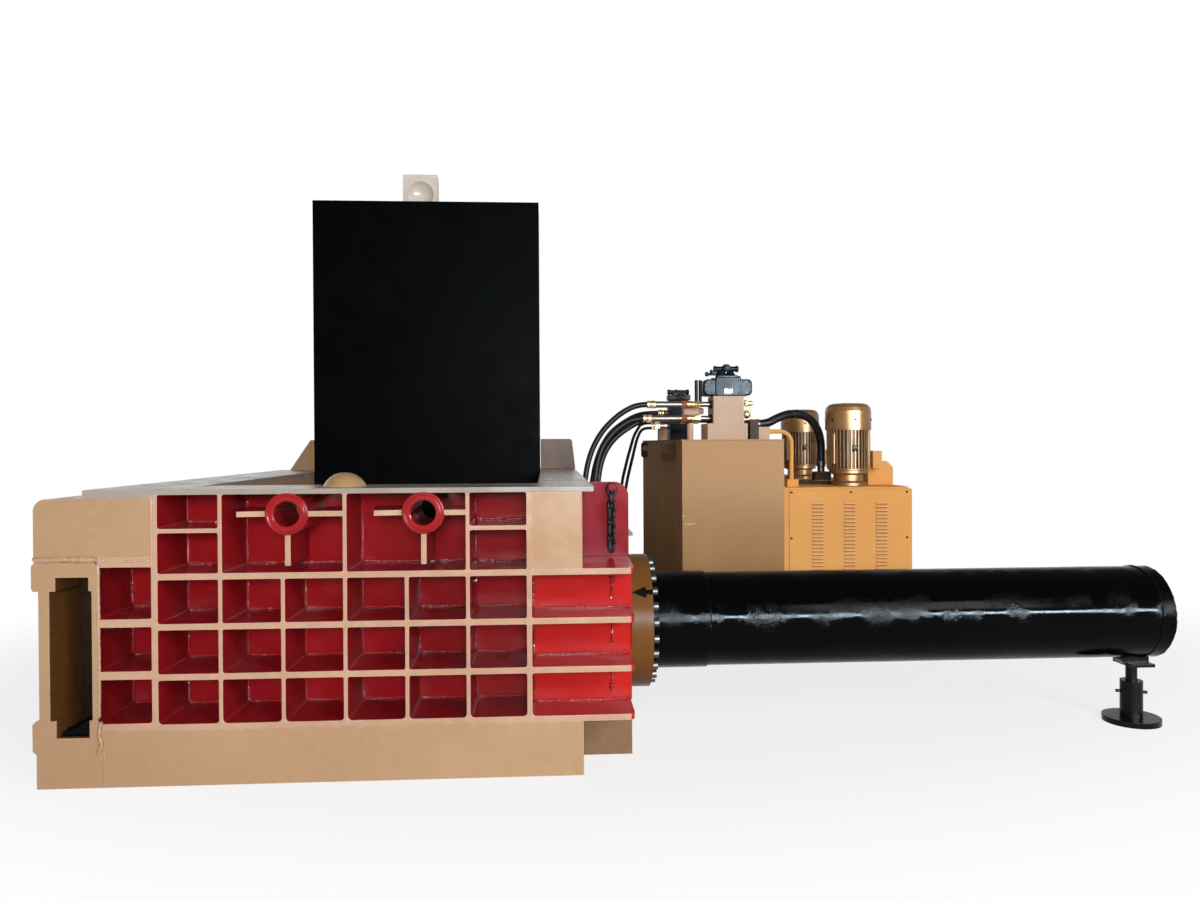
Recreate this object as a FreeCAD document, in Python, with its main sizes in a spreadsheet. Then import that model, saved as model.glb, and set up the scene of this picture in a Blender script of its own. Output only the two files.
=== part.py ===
import FreeCAD, Part
import math
import os
import re
import Sketcher

# A three-way hydraulic scrap baler with its power unit beside it, in millimetres.
# Sizes in the sheet are measured from the left end (X), the front face (Y) and the ground (Z).
# The model's own origin is on the ground under the middle of the whole machine.

os.makedirs("parts", exist_ok=True)
doc = FreeCAD.newDocument("RecyclingBaler")
Vector = FreeCAD.Vector
Rotation = FreeCAD.Rotation

SIZES = {
    # whole machine
    "baseHeight": 204, "topHeight": 1095, "topThick": 20, "topLeft": 184, "topRight": 2060,
    "floorThick": 21, "linerThick": 10, "linerGap": 2,
    # ribbed front wall
    "ribDepth": 285, "wallThick": 25, "wallLeft": 233, "edgeRibLeft": 427, "edgeRibThick": 22,
    "firstRib": 668, "ribPitch": 227.5, "ribThick": 14, "endRibThick": 19,
    "shelfTop": 784, "shelfPitch": 185.3, "shelfThick": 23, "sideShelfThick": 30,
    "sideShelfPitch": 192.5, "towerShelfThick": 38,
    "halfRibDrop": 161, "halfRibThick": 16,
    "bossLeft": 918, "bossRight": 1420, "bossDrop": 94, "bossRadius": 79, "bossBore": 47,
    "bossProud": 14, "gussetThick": 20,
    # chamber and bale channel
    "chamberLeft": 500, "chamberLength": 1345, "chamberBack": 2040, "channelWidth": 330,
    "channelHeight": 520, "sideThick": 25, "roofThick": 18, "ramGap": 2,
    "openingBack": 2385, "bodyBack": 2480, "rearThick": 50, "sideRibReach": 190,
    "sideRibPitch": 420,
    # gate and its guide
    "guideWidth": 233, "guideLength": 1380, "guideHeadTop": 831, "guideHeadLow": 725,
    "footHeadTop": 249, "footHeadLow": 128, "headChamfer": 12, "postLeft": 25, "postThick": 37,
    "rightPostThick": 19, "slotLeft": 84, "slotWidth": 119, "slotLow": 185, "slotTop": 775,
    "gateStart": 185, "gateLength": 610, "gateStroke": 500, "gateRod": 25, "gateBore": 40,
    "gateTube": 60, "gateTubeLength": 600,
    # tower above the gate
    "towerLow": 848, "towerDrop": 12, "towerLeft": 9, "towerCorner": 45, "towerThick": 30,
    "towerBack": 730, "towerSkin": 20,
    # ram housing and main cylinder
    "housingFront": 200, "shelfEnd": 2215, "shelfCorner": 30, "mountLeft": 2141, "mountThick": 80,
    "ramLength": 287, "ramStroke": 1598, "ramWall": 40, "ringThick": 90, "ringRadius": 281,
    "mainRadius": 200, "mainBore": 160, "mainRod": 100, "flangeThick": 25, "flangeRadius": 270,
    "flangeSeat": 22, "collarLength": 241, "collarRadius": 206, "tubeLength": 1945, "capThick": 59,
    "boltCircle": 250, "boltHead": 18, "boltHeadLength": 20, "boltCount": 24,
    "glandLength": 150, "pistonThick": 100, "runGap": 0.08,
    # side pusher and its cylinder
    "pusherLength": 398, "pusherStroke": 1396, "sideFlange": 190, "sideRadius": 122.5,
    "sideBore": 100, "sideRod": 62.5, "sideTubeLength": 1600, "sideCapThick": 50,
    "sideBoltCircle": 158, "sideBoltHead": 15, "sideBoltLength": 20, "sideBoltCount": 12,
    "sidePiston": 60,
    # lid
    "hingeBack": 2147, "hingeHeight": 880, "lidFace": 102, "lidReach": 1828, "lidDepth": 327,
    "lidGap": 3, "knuckleTaper": 250, "hingePin": 40, "hingePinLength": 170, "hingeBoss": 92,
    "hingeBossThick": 45, "lidSkin": 25, "lidRib": 20, "lidCells": 4,
    "lugCentre": 1092, "lugWidth": 217, "lugThick": 75, "lugReach": 255, "lugRoot": 330,
    "lugCorner": 12, "domeBack": 188, "domeBase": 83, "domeHeight": 54, "domeGap": 4,
    # lid cylinders
    "lidCylinderLeft": 700, "lidCylinderRight": 1645, "swingBack": 3000, "swingHeight": 620,
    "earStand": 135, "earHeight": 380, "earThick": 20, "earRadius": 60, "eyeThick": 60,
    "eyeRadius": 50, "eyeGap": 3, "eyePin": 25, "barrelRadius": 55, "barrelBore": 40,
    "barrelStart": 70, "barrelEnd": 740, "rodRadius": 28, "barrelPiston": 30,
    # hinge-side gussets
    "gussetBack": 2390, "gussetPlate": 25, "gussetRise": 190, "gussetLeft": 264,
    "gussetLeftTop": 392, "gussetRight": 2066, "gussetRightTop": 2046,
    # right-hand box and chain plate
    "boxRight": 2016, "boxSkin": 20,
    "chainPlateLeft": 2030, "chainPlateRight": 2225, "chainPlateFront": 370,
    "chainPlateThick": 25, "chainPlateCorner": 60, "chainHoleX": 2152, "chainHoleDrop": 22,
    "chainPeg": 7, "linkLength": 60, "linkWidth": 44, "linkWire": 6.5, "linkSlack": 0.4,
    # support foot
    "footInset": 68, "footRadius": 118, "footThick": 25, "footTube": 46, "footTubeTop": 186,
    "footRod": 23.5, "saddleLow": 256, "saddleThick": 14, "saddleLength": 110, "saddleWidth": 130,
    "saddleRise": 74, "footPin": 7, "footPinLength": 126, "footPinHeight": 134,
    # base beams
    "beamLeft": 256, "beamRight": 2018, "beamWidth": 180, "gateBaseLeft": 14,
    "gateBaseTop": 128, "pedestalRight": 2223, "pedestalFront": 220, "pedestalBack": 740,
    # power unit
    "tankLeft": 2680, "tankRight": 3290, "unitFront": 1870, "unitBack": 4030, "tankHeight": 1267,
    "sheetThick": 6, "coverOver": 5, "coverThick": 8, "cabinetRight": 4066, "cabinetHeight": 975,
    "panelInset": 30, "louverWidth": 68, "louverPitch": 21.6, "louverRise": 7, "louverDrop": 87,
    "louverCount": 26, "screwHead": 6, "deckThick": 12,
    "motorX": 3757, "motorFront": 2105, "motorBack": 3175, "cowlRadius": 139, "cowlHeight": 164,
    "cowlRound": 48, "bodyHeight": 236, "bodyRadius": 116, "finDepth": 15, "finThick": 5,
    "finCount": 36, "bodyBore": 84, "bellHeight": 107, "bellRadius": 108, "neckRadius": 90,
    "shaftRadius": 19, "terminalLength": 55, "terminalWidth": 92, "terminalHeight": 106,
    "deckOver": 16, "coverBoxLength": 160, "coverBoxDepth": 190, "coverBoxHeight": 148,
    "coverBoxChamfer": 38,
    "pumpRadius": 75, "pumpLength": 240, "couplingRadius": 34,
    # valves on the tank
    "manifoldLeft": 2890, "manifoldWidth": 184, "manifoldFront": 1985, "manifoldDepth": 190,
    "plinthHeight": 97, "manifoldHeight": 166, "plinthMargin": 40, "valveHeight": 103,
    "valveOver": 58, "pilotHeight": 50, "rearManifoldBack": 800, "rearManifoldLeft": 2735,
    "rearManifoldWidth": 127, "rearManifoldDepth": 150, "rearManifoldHeight": 275,
    "returnBlock": 66, "returnHeight": 75, "returnPipe": 13, "returnBend": 70,
    # hoses
    "hoseRadius": 17, "pilotHoseRadius": 10, "suctionRadius": 26, "hoseNut": 22,
    "portShelf": 700, "portShelfThick": 20, "portBlock": 60, "suctionStub": 22,
    "suctionFootRise": 47, "suctionValveRise": 78, "suctionPlateRise": 27, "suctionReach": 57,
    "suctionHalf": 32, "suctionValveLeft": 48, "suctionValveBack": 40, "suctionPlateLeft": 153,
    "suctionPlateBack": 70,
}

sheet = doc.addObject("Spreadsheet::Sheet", "Sizes")
for line, (alias, number) in enumerate(SIZES.items(), start=1):
    sheet.set(f"A{line}", alias)
    sheet.set(f"B{line}", str(number))
    sheet.setAlias(f"B{line}", alias)
doc.recompute()

# places worked out from the sizes
FLOOR = "(baseHeight + floorThick)"
DECK = f"({FLOOR} + linerThick)"
CHANNEL_TOP = f"({DECK} + channelHeight)"
AXIS_Z = f"({DECK} + channelHeight / 2)"
CHAMBER_FRONT = "(ribDepth + wallThick)"
CHANNEL_BACK = f"({CHAMBER_FRONT} + channelWidth)"
AXIS_Y = f"({CHAMBER_FRONT} + channelWidth / 2)"
CHAMBER_RIGHT = "(chamberLeft + chamberLength)"
CHAMBER_MIDDLE = "(chamberLeft + chamberLength / 2)"
UNDER_TOP = "(topHeight - topThick)"
TOWER_TOP = f"({UNDER_TOP} - towerDrop)"
BOSS_Z = "(topHeight - bossDrop)"
HALF_RIB_Z = "(topHeight - halfRibDrop)"
CHAIN_Z = "(topHeight - chainHoleDrop)"
LAST_RIB = "(firstRib + 5 * ribPitch)"
MOUNT_RIGHT = "(mountLeft + mountThick)"
RING_RIGHT = f"({MOUNT_RIGHT} + ringThick)"
FLANGE_LEFT = f"({RING_RIGHT} - flangeSeat)"
FLANGE_RIGHT = f"({FLANGE_LEFT} + flangeThick)"
TUBE_LEFT = f"({FLANGE_RIGHT} + collarLength)"
TUBE_RIGHT = f"({TUBE_LEFT} + tubeLength)"
REAR_FACE = "(bodyBack + rearThick)"
LID_BACK = "(lidDepth - lidFace)"
EAR_BACK = f"({LID_BACK} + earStand)"
DECK_TOP = "(cabinetHeight + deckThick)"
CAP_RIGHT = f"({TUBE_RIGHT} + capThick)"
FOOT_X = f"({CAP_RIGHT} - footInset)"
MIDDLE_X = f"(({FOOT_X} + footRadius) / 2)"
SIDE_TUBE_START = f"({REAR_FACE} + rearThick)"
SIDE_TUBE_END = f"({SIDE_TUBE_START} + sideTubeLength)"
MIDDLE_Y = f"(({SIDE_TUBE_END} + sideCapThick) / 2)"
BELL_TOP = f"({DECK_TOP} + bellHeight)"
BODY_TOP = f"({BELL_TOP} + bodyHeight)"
COVER_TOP = "(tankHeight + coverThick)"
MANIFOLD_LOW = f"({COVER_TOP} + plinthHeight)"
LOUVER_TOP = "(cabinetHeight - louverDrop)"
TURN = {"x": Rotation(Vector(0, 1, 0), 90), "y": Rotation(Vector(1, 0, 0), -90), "z": Rotation()}
NODES = []


def qualified(expression):
    """Write each size's name the way the sheet is asked for it."""
    return re.sub(r"[A-Za-z]+", lambda word: "Sizes." + word.group()
                  if word.group() in SIZES else word.group(), str(expression))


def bind(thing, target, expression):
    thing.setExpression(target, qualified(expression))


def number(expression):
    """The value of a size expression, for shapes that are worked out in code."""
    result = doc.getObject("Sizes").evalExpression(qualified(expression))
    return float(getattr(result, "Value", result))


def place(thing, x, y, z):
    bind(thing, "Placement.Base.x", f"({x}) - {MIDDLE_X}")
    bind(thing, "Placement.Base.y", f"({y}) - {MIDDLE_Y}")
    bind(thing, "Placement.Base.z", z)


def box(x, y, z):
    """A block between a low and a high place along each axis."""
    block = doc.addObject("Part::Box", "Block")
    for side, (low, high) in zip(("Length", "Width", "Height"), (x, y, z)):
        bind(block, side, f"({high}) - ({low})")
    place(block, x[0], y[0], z[0])
    return block


def rod(axis, x, y, z, radius, length):
    """A round bar that starts at a point and runs along an axis."""
    bar = doc.addObject("Part::Cylinder", "Bar")
    bar.Placement = FreeCAD.Placement(Vector(), TURN[axis])
    bind(bar, "Radius", radius)
    bind(bar, "Height", length)
    place(bar, x, y, z)
    return bar


def fuse(*solids):
    joined = doc.addObject("Part::MultiFuse", "Joined")
    joined.Shapes = list(solids)
    joined.Refine = True
    return joined


def cut(base, *tools):
    result = doc.addObject("Part::Cut", "Trimmed")
    result.Base = base
    result.Tool = tools[0] if len(tools) == 1 else fuse(*tools)
    return result


def ring(axis, x, y, z, outer, inner, length):
    return cut(rod(axis, x, y, z, outer, length), rod(axis, x, y, z, inner, length))


def node(label, *solids):
    """Name a finished piece; several alike make one node of separate solids."""
    piece = solids[0]
    if len(solids) > 1:
        piece = doc.addObject("Part::Compound", "Set")
        piece.Links = list(solids)
    piece.Label = label
    NODES.append(piece)
    return piece


def outline(body, plane, points):
    """A closed sketch whose corners are each bound to the sheet."""
    sketch = body.newObject("Sketcher::SketchObject", "Outline")
    origin = [item for item in body.Origin.OriginFeatures if item.Role == plane][0]
    sketch.AttachmentSupport = (origin, [""])
    sketch.MapMode = "FlatFace"
    spots = [Vector(number(u), number(v), 0) for u, v in points]
    count = len(spots)
    for i in range(count):
        sketch.addGeometry(Part.LineSegment(spots[i], spots[(i + 1) % count]))
    for i in range(count):
        sketch.addConstraint(Sketcher.Constraint("Coincident", i, 2, (i + 1) % count, 1))
    for i, (u, v) in enumerate(points):
        for kind, coordinate, value, line in (("DistanceX", u, spots[i].x, -2),
                                              ("DistanceY", v, spots[i].y, -1)):
            if str(coordinate) == "0":
                sketch.addConstraint(Sketcher.Constraint("PointOnObject", i, 1, line))
                continue
            index = sketch.addConstraint(Sketcher.Constraint(kind, -1, 1, i, 1, value))
            bind(sketch, f"Constraints[{index}]", coordinate)
    return sketch


def slab(plane, points, start, thickness):
    """A plate of a drawn outline, from a place along the plane's normal.

    The outline's numbers are places in the machine along the plane's own two axes."""
    body = doc.addObject("PartDesign::Body", "Plate")
    sketch = outline(body, plane, points)
    pad = body.newObject("PartDesign::Pad", "Thickness")
    pad.Profile = sketch
    bind(pad, "Length", thickness)
    pad.Reversed = plane == "XZ_Plane"
    place(body, *{"XZ_Plane": (0, start, 0), "YZ_Plane": (start, 0, 0),
                  "XY_Plane": (0, 0, start)}[plane])
    return body


def turned(points, axis, x, y, z):
    """A body of revolution: points are radius and height along the axis."""
    body = doc.addObject("PartDesign::Body", "Turned")
    sketch = outline(body, "XZ_Plane", points)
    sweep = body.newObject("PartDesign::Revolution", "Turn")
    sweep.Profile = sketch
    sweep.ReferenceAxis = (sketch, ["V_Axis"])
    sweep.Angle = 360
    body.Placement = FreeCAD.Placement(Vector(), TURN[axis])
    place(body, x, y, z)
    return body


def boltCircle(axis, along, middle, circle, head, length, count):
    """Cylinder head screws in a ring, each with its hexagon socket."""
    screws = []
    for i in range(count):
        angle = 2 * math.pi * (i + 0.5) / count
        side = f"{middle} + {circle} * {math.sin(angle):.6f}"
        up = f"{AXIS_Z} + {circle} * {math.cos(angle):.6f}"
        start = f"{along} + {length} / 2"
        if axis == "x":
            screw = rod("x", along, side, up, head, length)
            socket = rod("x", start, side, up, f"{head} / 2", f"{length} / 2")
        else:
            screw = rod("y", side, along, up, head, length)
            socket = rod("y", side, start, up, f"{head} / 2", f"{length} / 2")
        screws.append(cut(screw, socket))
    return screws


def freeRun(points, radius):
    """A round tube of straight runs with an arc at each turn, as a hose lies.

    Each arc is as large as its two runs allow."""
    spots = [Vector(*point) for point in points]
    edges = []
    radii = []
    start = spots[0]
    for before, corner, after in zip(spots, spots[1:], spots[2:]):
        arrive = corner - before
        leave = after - corner
        shorter = min(arrive.Length, leave.Length)
        turn = arrive.getAngle(leave)
        reach = 0.45 * shorter
        radii.append(reach / math.tan(turn / 2))
        arrive.normalize()
        leave.normalize()
        first = corner - arrive * reach
        last = corner + leave * reach
        bend = (leave - arrive).normalize()
        middle = corner + bend * (radii[-1] / math.cos(turn / 2) - radii[-1])
        edges.append(Part.LineSegment(start, first).toShape())
        edges.append(Part.Arc(first, middle, last).toShape())
        start = last
    edges.append(Part.LineSegment(start, spots[-1]).toShape())
    path = Part.Wire(edges)
    direction = spots[1] - spots[0]
    profile = Part.Wire([Part.Circle(spots[0], direction, radius).toShape()])
    tube = doc.addObject("Part::Feature", "Hose")
    tube.Shape = path.makePipeShell([profile], True, False)
    share = tube.Shape.Volume / (math.pi * radius * radius * path.Length)
    print(f"hose length {path.Length:.0f} radii {min(radii):.0f} to {max(radii):.0f} "
          f"volume over section times length {share:.4f}")
    tube.Placement = FreeCAD.Placement(Vector(-number(MIDDLE_X), -number(MIDDLE_Y), 0), Rotation())
    return tube


# ---------------------------------------------------------------- base
# the front beam reaches over the gate's base block to the gate guide
frontBeam = box(("beamLeft", "beamRight"), (0, "beamWidth"), (0, "baseHeight"))
beamEnd = box(("guideWidth", "beamLeft"), (0, "beamWidth"), ("gateBaseTop", "baseHeight"))
node("front_base_beam", fuse(frontBeam, beamEnd))
node("gate_base_beam", box(("gateBaseLeft", "beamLeft"), (0, "guideLength"),
                           (0, "gateBaseTop")))
node("ram_pedestal", box(("beamRight", "pedestalRight"), ("pedestalFront", "pedestalBack"),
                         (0, "baseHeight")))
node("rear_base_beam", box(("beamLeft", "beamRight"), (f"{REAR_FACE} - beamWidth", REAR_FACE),
                           (0, "baseHeight")))

floorLevels = ("baseHeight", FLOOR)
channelFloor = box(("wallLeft", MOUNT_RIGHT), ("ribDepth", "pedestalBack"), floorLevels)
chamberFloor = box(("chamberLeft - sideThick", f"{CHAMBER_RIGHT} + sideThick"),
                   ("pedestalBack", REAR_FACE), floorLevels)
node("chamber_floor", fuse(channelFloor, chamberFloor))
linerLevels = (FLOOR, DECK)
channelLiner = box(("wallLeft + linerGap", "mountLeft - linerGap"),
                   (f"{CHAMBER_FRONT} + linerGap", f"{CHANNEL_BACK} - linerGap"), linerLevels)
chamberLiner = box(("chamberLeft + linerGap", f"{CHAMBER_RIGHT} - linerGap"),
                   (f"{CHANNEL_BACK} - linerGap", "bodyBack - linerGap"), linerLevels)
node("floor_liner", fuse(channelLiner, chamberLiner))

# ---------------------------------------------------------------- ribbed front wall
shelves = [f"(shelfTop - {i} * shelfPitch)" for i in range(4)]
backPlate = box(("wallLeft", "boxRight"), ("ribDepth", CHAMBER_FRONT),
                (FLOOR, UNDER_TOP))
ribs = [box(("edgeRibLeft", "edgeRibLeft + edgeRibThick"), (0, "ribDepth"),
            ("baseHeight", UNDER_TOP))]
for i in range(6):
    left = f"(firstRib + {i} * ribPitch)"
    thick = "endRibThick" if i == 5 else "ribThick"
    # the second and fourth of these stop under the upper shelf, where the lock bosses sit
    top = "shelfTop - shelfThick" if i in (1, 3) else UNDER_TOP
    ribs.append(box((left, f"{left} + {thick}"), (0, "ribDepth"), ("baseHeight", top)))
housingLeft = f"({LAST_RIB} + endRibThick)"
for top in shelves:
    ribs.append(box(("edgeRibLeft", housingLeft), (0, "ribDepth"), (f"{top} - shelfThick", top)))
for i in range(3):
    low = f"(baseHeight + {i} * sideShelfPitch)"
    ribs.append(box(("wallLeft", "edgeRibLeft"), (0, "ribDepth"),
                    (low, f"{low} + sideShelfThick")))
ribs.append(box(("wallLeft", "edgeRibLeft"), (0, "ribDepth"),
                ("towerLow - towerShelfThick", "towerLow")))
halfLevels = (HALF_RIB_Z, f"{HALF_RIB_Z} + halfRibThick")
ribs.append(box(("edgeRibLeft", "firstRib"), (0, "ribDepth"), halfLevels))
ribs.append(box(("firstRib + 4 * ribPitch", LAST_RIB), (0, "ribDepth"), halfLevels))
for boss, reach in (("bossLeft", "(firstRib + 2 * ribPitch)"),
                    ("bossRight", "(firstRib + 4 * ribPitch)")):
    levels = (f"{BOSS_Z} - gussetThick / 2", f"{BOSS_Z} + gussetThick / 2")
    ribs.append(box((boss, reach), (0, "ribDepth"), levels))
    # the left-hand gusset leans back from the boss to the wall
    ribs.append(slab("XY_Plane", [(boss, "2 * bossProud"), (f"{boss} - 2.3 * bossRadius", 0),
                                  (f"{boss} - 2.9 * bossRadius", "ribDepth"),
                                  (boss, "ribDepth")], levels[0], "gussetThick"))
    ribs.append(box((f"{boss} - gussetThick / 2", f"{boss} + gussetThick / 2"),
                    ("bossProud", "ribDepth"), ("shelfTop + shelfThick", BOSS_Z)))
wall = fuse(backPlate, *ribs)
bossSeats = [rod("y", boss, 0, BOSS_Z, "bossRadius", CHAMBER_FRONT)
             for boss in ("bossLeft", "bossRight")]
node("front_wall", cut(wall, *bossSeats))
topRoom = box(("edgeRibLeft", "boxRight"), (0, CHAMBER_FRONT), (UNDER_TOP, "topHeight"))
node("lock_bosses", *[cut(ring("y", boss, 0, BOSS_Z, "bossRadius", "bossBore",
                               CHAMBER_FRONT), topRoom) for boss in ("bossLeft", "bossRight")])

# ---------------------------------------------------------------- gate end
postRight = "(guideWidth - rightPostThick)"
guideOutline = [("headChamfer", "footHeadLow"), ("guideWidth - headChamfer", "footHeadLow"),
                ("guideWidth", "footHeadLow + headChamfer"),
                ("guideWidth", "guideHeadTop - headChamfer"),
                ("guideWidth - headChamfer", "guideHeadTop"), ("headChamfer", "guideHeadTop"),
                (0, "guideHeadTop - headChamfer"), (0, "guideHeadLow + headChamfer"),
                ("headChamfer / 2", "guideHeadLow"), ("postLeft", "guideHeadLow"),
                ("postLeft", "footHeadTop"), ("headChamfer", "footHeadTop"),
                (0, "footHeadTop - headChamfer"), (0, "footHeadLow + headChamfer")]
guide = slab("XZ_Plane", guideOutline, 0, "guideLength")
window = box(("postLeft + postThick", postRight), (0, "guideLength"),
             ("footHeadTop", "guideHeadLow"))
slot = box(("slotLeft", "slotLeft + slotWidth"), (0, "guideLength"), ("slotLow", "slotTop"))
outlet = box((0, "guideWidth"), (CHAMBER_FRONT, CHANNEL_BACK), (DECK, CHANNEL_TOP))
node("gate_guide", cut(guide, window, slot, outlet))

slotMiddle = "(slotLeft + slotWidth / 2)"
gateAxis = "((slotLow + slotTop) / 2)"
gateEnd = "(gateStart + gateLength)"
node("gate_plate", box(("slotLeft + ramGap", "slotLeft + slotWidth - ramGap"),
                       ("gateStart", gateEnd), ("slotLow + ramGap", "slotTop - ramGap")))
gatePistonStart = "(guideLength + 60)"
gateRod = rod("y", slotMiddle, gateEnd, gateAxis, "gateRod", f"{gatePistonStart} - {gateEnd}")
gatePiston = rod("y", slotMiddle, gatePistonStart, gateAxis, "gateBore - runGap", "gateBore")
node("gate_rod", fuse(gateRod, gatePiston))
gateFlange = box(("postLeft", "guideWidth"), ("guideLength", "guideLength + wallThick"),
                 (f"{gateAxis} - 2.5 * gateTube", f"{gateAxis} + 2.5 * gateTube"))
gateTube = rod("y", slotMiddle, "guideLength + wallThick", gateAxis, "gateTube", "gateTubeLength")
gateHollow = rod("y", slotMiddle, "guideLength + 50", gateAxis, "gateBore",
                 "gateTubeLength - gateBore")
gateNeck = rod("y", slotMiddle, "guideLength", gateAxis, "gateRod + runGap", "50")
node("gate_cylinder", cut(fuse(gateFlange, gateTube), gateHollow, gateNeck))

towerPlain = box(("towerLeft + towerCorner", "edgeRibLeft"), (0, "towerThick"),
                 ("towerLow", TOWER_TOP))
towerEdge = box(("towerLeft", "towerLeft + towerCorner"), (0, "towerThick"),
                ("towerLow", f"{TOWER_TOP} - towerCorner"))
towerRound = rod("y", "towerLeft + towerCorner", 0, f"{TOWER_TOP} - towerCorner", "towerCorner",
                 "towerThick")
node("tower_front_plate", fuse(towerPlain, towerEdge, towerRound))
towerShell = box(("towerLeft + towerCorner", "edgeRibLeft"), ("towerThick", "towerBack"),
                 ("guideHeadTop", TOWER_TOP))
hollowLevels = ("guideHeadTop + towerSkin", f"{TOWER_TOP} - towerSkin")
towerHollow = box(("towerLeft + towerCorner + towerSkin", "edgeRibLeft - towerSkin"),
                  (f"{CHAMBER_FRONT} + towerSkin", "towerBack - towerSkin"), hollowLevels)
frontHollow = box(("towerLeft + towerCorner + towerSkin", "wallLeft - towerSkin"),
                  ("towerThick + towerSkin", "towerBack - towerSkin"), hollowLevels)
wallRoom = box(("wallLeft", "edgeRibLeft"), ("towerThick", CHAMBER_FRONT),
               ("guideHeadTop", TOWER_TOP))
node("gate_tower", cut(towerShell, towerHollow, frontHollow, wallRoom))

# ---------------------------------------------------------------- channel, sides and roof
channelRoof = box(("wallLeft", "chamberLeft - sideThick"),
                  (CHAMBER_FRONT, f"{CHANNEL_BACK} + towerThick"), (CHANNEL_TOP, "shelfTop"))
channelBack = box(("wallLeft", "chamberLeft"),
                  (CHANNEL_BACK, f"{CHANNEL_BACK} + towerThick"), (FLOOR, CHANNEL_TOP))

leftPlate = box(("chamberLeft - sideThick", "chamberLeft"),
                (f"{CHANNEL_BACK} + towerThick", "bodyBack"), (FLOOR, UNDER_TOP))
leftUpper = box(("chamberLeft - sideThick", "chamberLeft"),
                (CHAMBER_FRONT, f"{CHANNEL_BACK} + towerThick"), (CHANNEL_TOP, UNDER_TOP))
leftRibs = [box(("chamberLeft - sideThick - sideRibReach", "chamberLeft - sideThick"),
                (f"towerBack + linerGap + {i} * sideRibPitch",
                 f"towerBack + linerGap + {i} * sideRibPitch + towerSkin"), (FLOOR, UNDER_TOP))
            for i in range(5)]
leftBoss = rod("x", "chamberLeft - sideThick - hingeBossThick", "hingeBack", "hingeHeight",
               "hingeBoss", "hingeBossThick")
leftPinHole = rod("x", "chamberLeft - 2 * hingePinLength", "hingeBack", "hingeHeight",
                  "hingePin", "2 * hingePinLength")
leftWall = fuse(leftPlate, leftUpper, leftBoss, channelRoof, channelBack, *leftRibs)
node("left_side_wall", cut(leftWall, leftPinHole))

rightPlate = box((CHAMBER_RIGHT, f"{CHAMBER_RIGHT} + sideThick"), ("pedestalBack", "bodyBack"),
                 (FLOOR, UNDER_TOP))
rightUpper = box((CHAMBER_RIGHT, f"{CHAMBER_RIGHT} + sideThick"),
                 (CHAMBER_FRONT, "pedestalBack"), ("shelfTop", UNDER_TOP))
rightRibs = [box((f"{CHAMBER_RIGHT} + sideThick", f"{CHAMBER_RIGHT} + sideThick + sideRibReach"),
                 (f"pedestalBack + ribDepth / 2 + {i} * sideRibPitch",
                  f"pedestalBack + ribDepth / 2 + {i} * sideRibPitch + towerSkin"),
                 (FLOOR, UNDER_TOP)) for i in range(4)]
rightBoss = rod("x", f"{CHAMBER_RIGHT} + sideThick", "hingeBack", "hingeHeight", "hingeBoss",
                "hingeBossThick")
rightPinHole = rod("x", CHAMBER_RIGHT, "hingeBack", "hingeHeight", "hingePin",
                   "2 * hingePinLength")
node("right_side_wall", cut(fuse(rightPlate, rightUpper, rightBoss, *rightRibs), rightPinHole))
pinInset = "hingePinLength - sideThick - hingeBossThick"
pivotPins = [rod("x", "chamberLeft - sideThick - hingeBossThick", "hingeBack", "hingeHeight",
                 "hingePin", "hingePinLength"),
             rod("x", f"{CHAMBER_RIGHT} - ({pinInset})", "hingeBack", "hingeHeight",
                 "hingePin", "hingePinLength")]

roof = box(("chamberLeft", CHAMBER_RIGHT), ("chamberBack + roofThick", "bodyBack"),
           (CHANNEL_TOP, f"{CHANNEL_TOP} + roofThick"))
rearPlate = box(("chamberLeft - sideThick", f"{CHAMBER_RIGHT} + sideThick"),
                ("bodyBack", REAR_FACE), (FLOOR, f"{CHANNEL_TOP} + roofThick"))
rearHole = rod("y", CHAMBER_MIDDLE, "bodyBack", AXIS_Z, "sideBore", "rearThick")
node("pusher_housing", cut(fuse(roof, rearPlate), rearHole))

topSheet = box(("topLeft", "topRight"), (0, "bodyBack"), (UNDER_TOP, "topHeight"))
topStrip = box(("topLeft", "edgeRibLeft"), (0, "towerThick"), (TOWER_TOP, UNDER_TOP))
opening = box(("chamberLeft", CHAMBER_RIGHT), (CHAMBER_FRONT, "openingBack"),
              (UNDER_TOP, "topHeight"))
# behind the opening the plate makes room for the lid cylinders as they swing
swingRoom = box(("lidCylinderLeft - barrelRadius - towerSkin",
                 "lidCylinderRight + barrelRadius + towerSkin"), ("openingBack", "bodyBack"),
                (UNDER_TOP, "topHeight"))
node("top_plate", cut(fuse(topSheet, topStrip), opening, swingRoom))

gussetTop = "(topHeight + gussetRise)"
leftGusset = slab("XZ_Plane", [("gussetLeft", "topHeight"), ("chamberLeft", "topHeight"),
                               ("chamberLeft", gussetTop), ("gussetLeftTop", gussetTop)],
                  "gussetBack", "gussetPlate")
rightGusset = slab("XZ_Plane", [(CHAMBER_RIGHT, "topHeight"), ("gussetRight", "topHeight"),
                                ("gussetRightTop", f"{gussetTop} - headChamfer"),
                                ("gussetRightTop - headChamfer", gussetTop),
                                (CHAMBER_RIGHT, gussetTop)], "gussetBack", "gussetPlate")
gussetFoot = ("gussetBack + gussetPlate", "bodyBack")
leftStay = box(("chamberLeft - gussetPlate", "chamberLeft"), gussetFoot, ("topHeight", gussetTop))
rightStay = box((CHAMBER_RIGHT, f"{CHAMBER_RIGHT} + gussetPlate"), gussetFoot,
                ("topHeight", gussetTop))
node("hinge_gussets", fuse(leftGusset, leftStay), fuse(rightGusset, rightStay))

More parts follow.
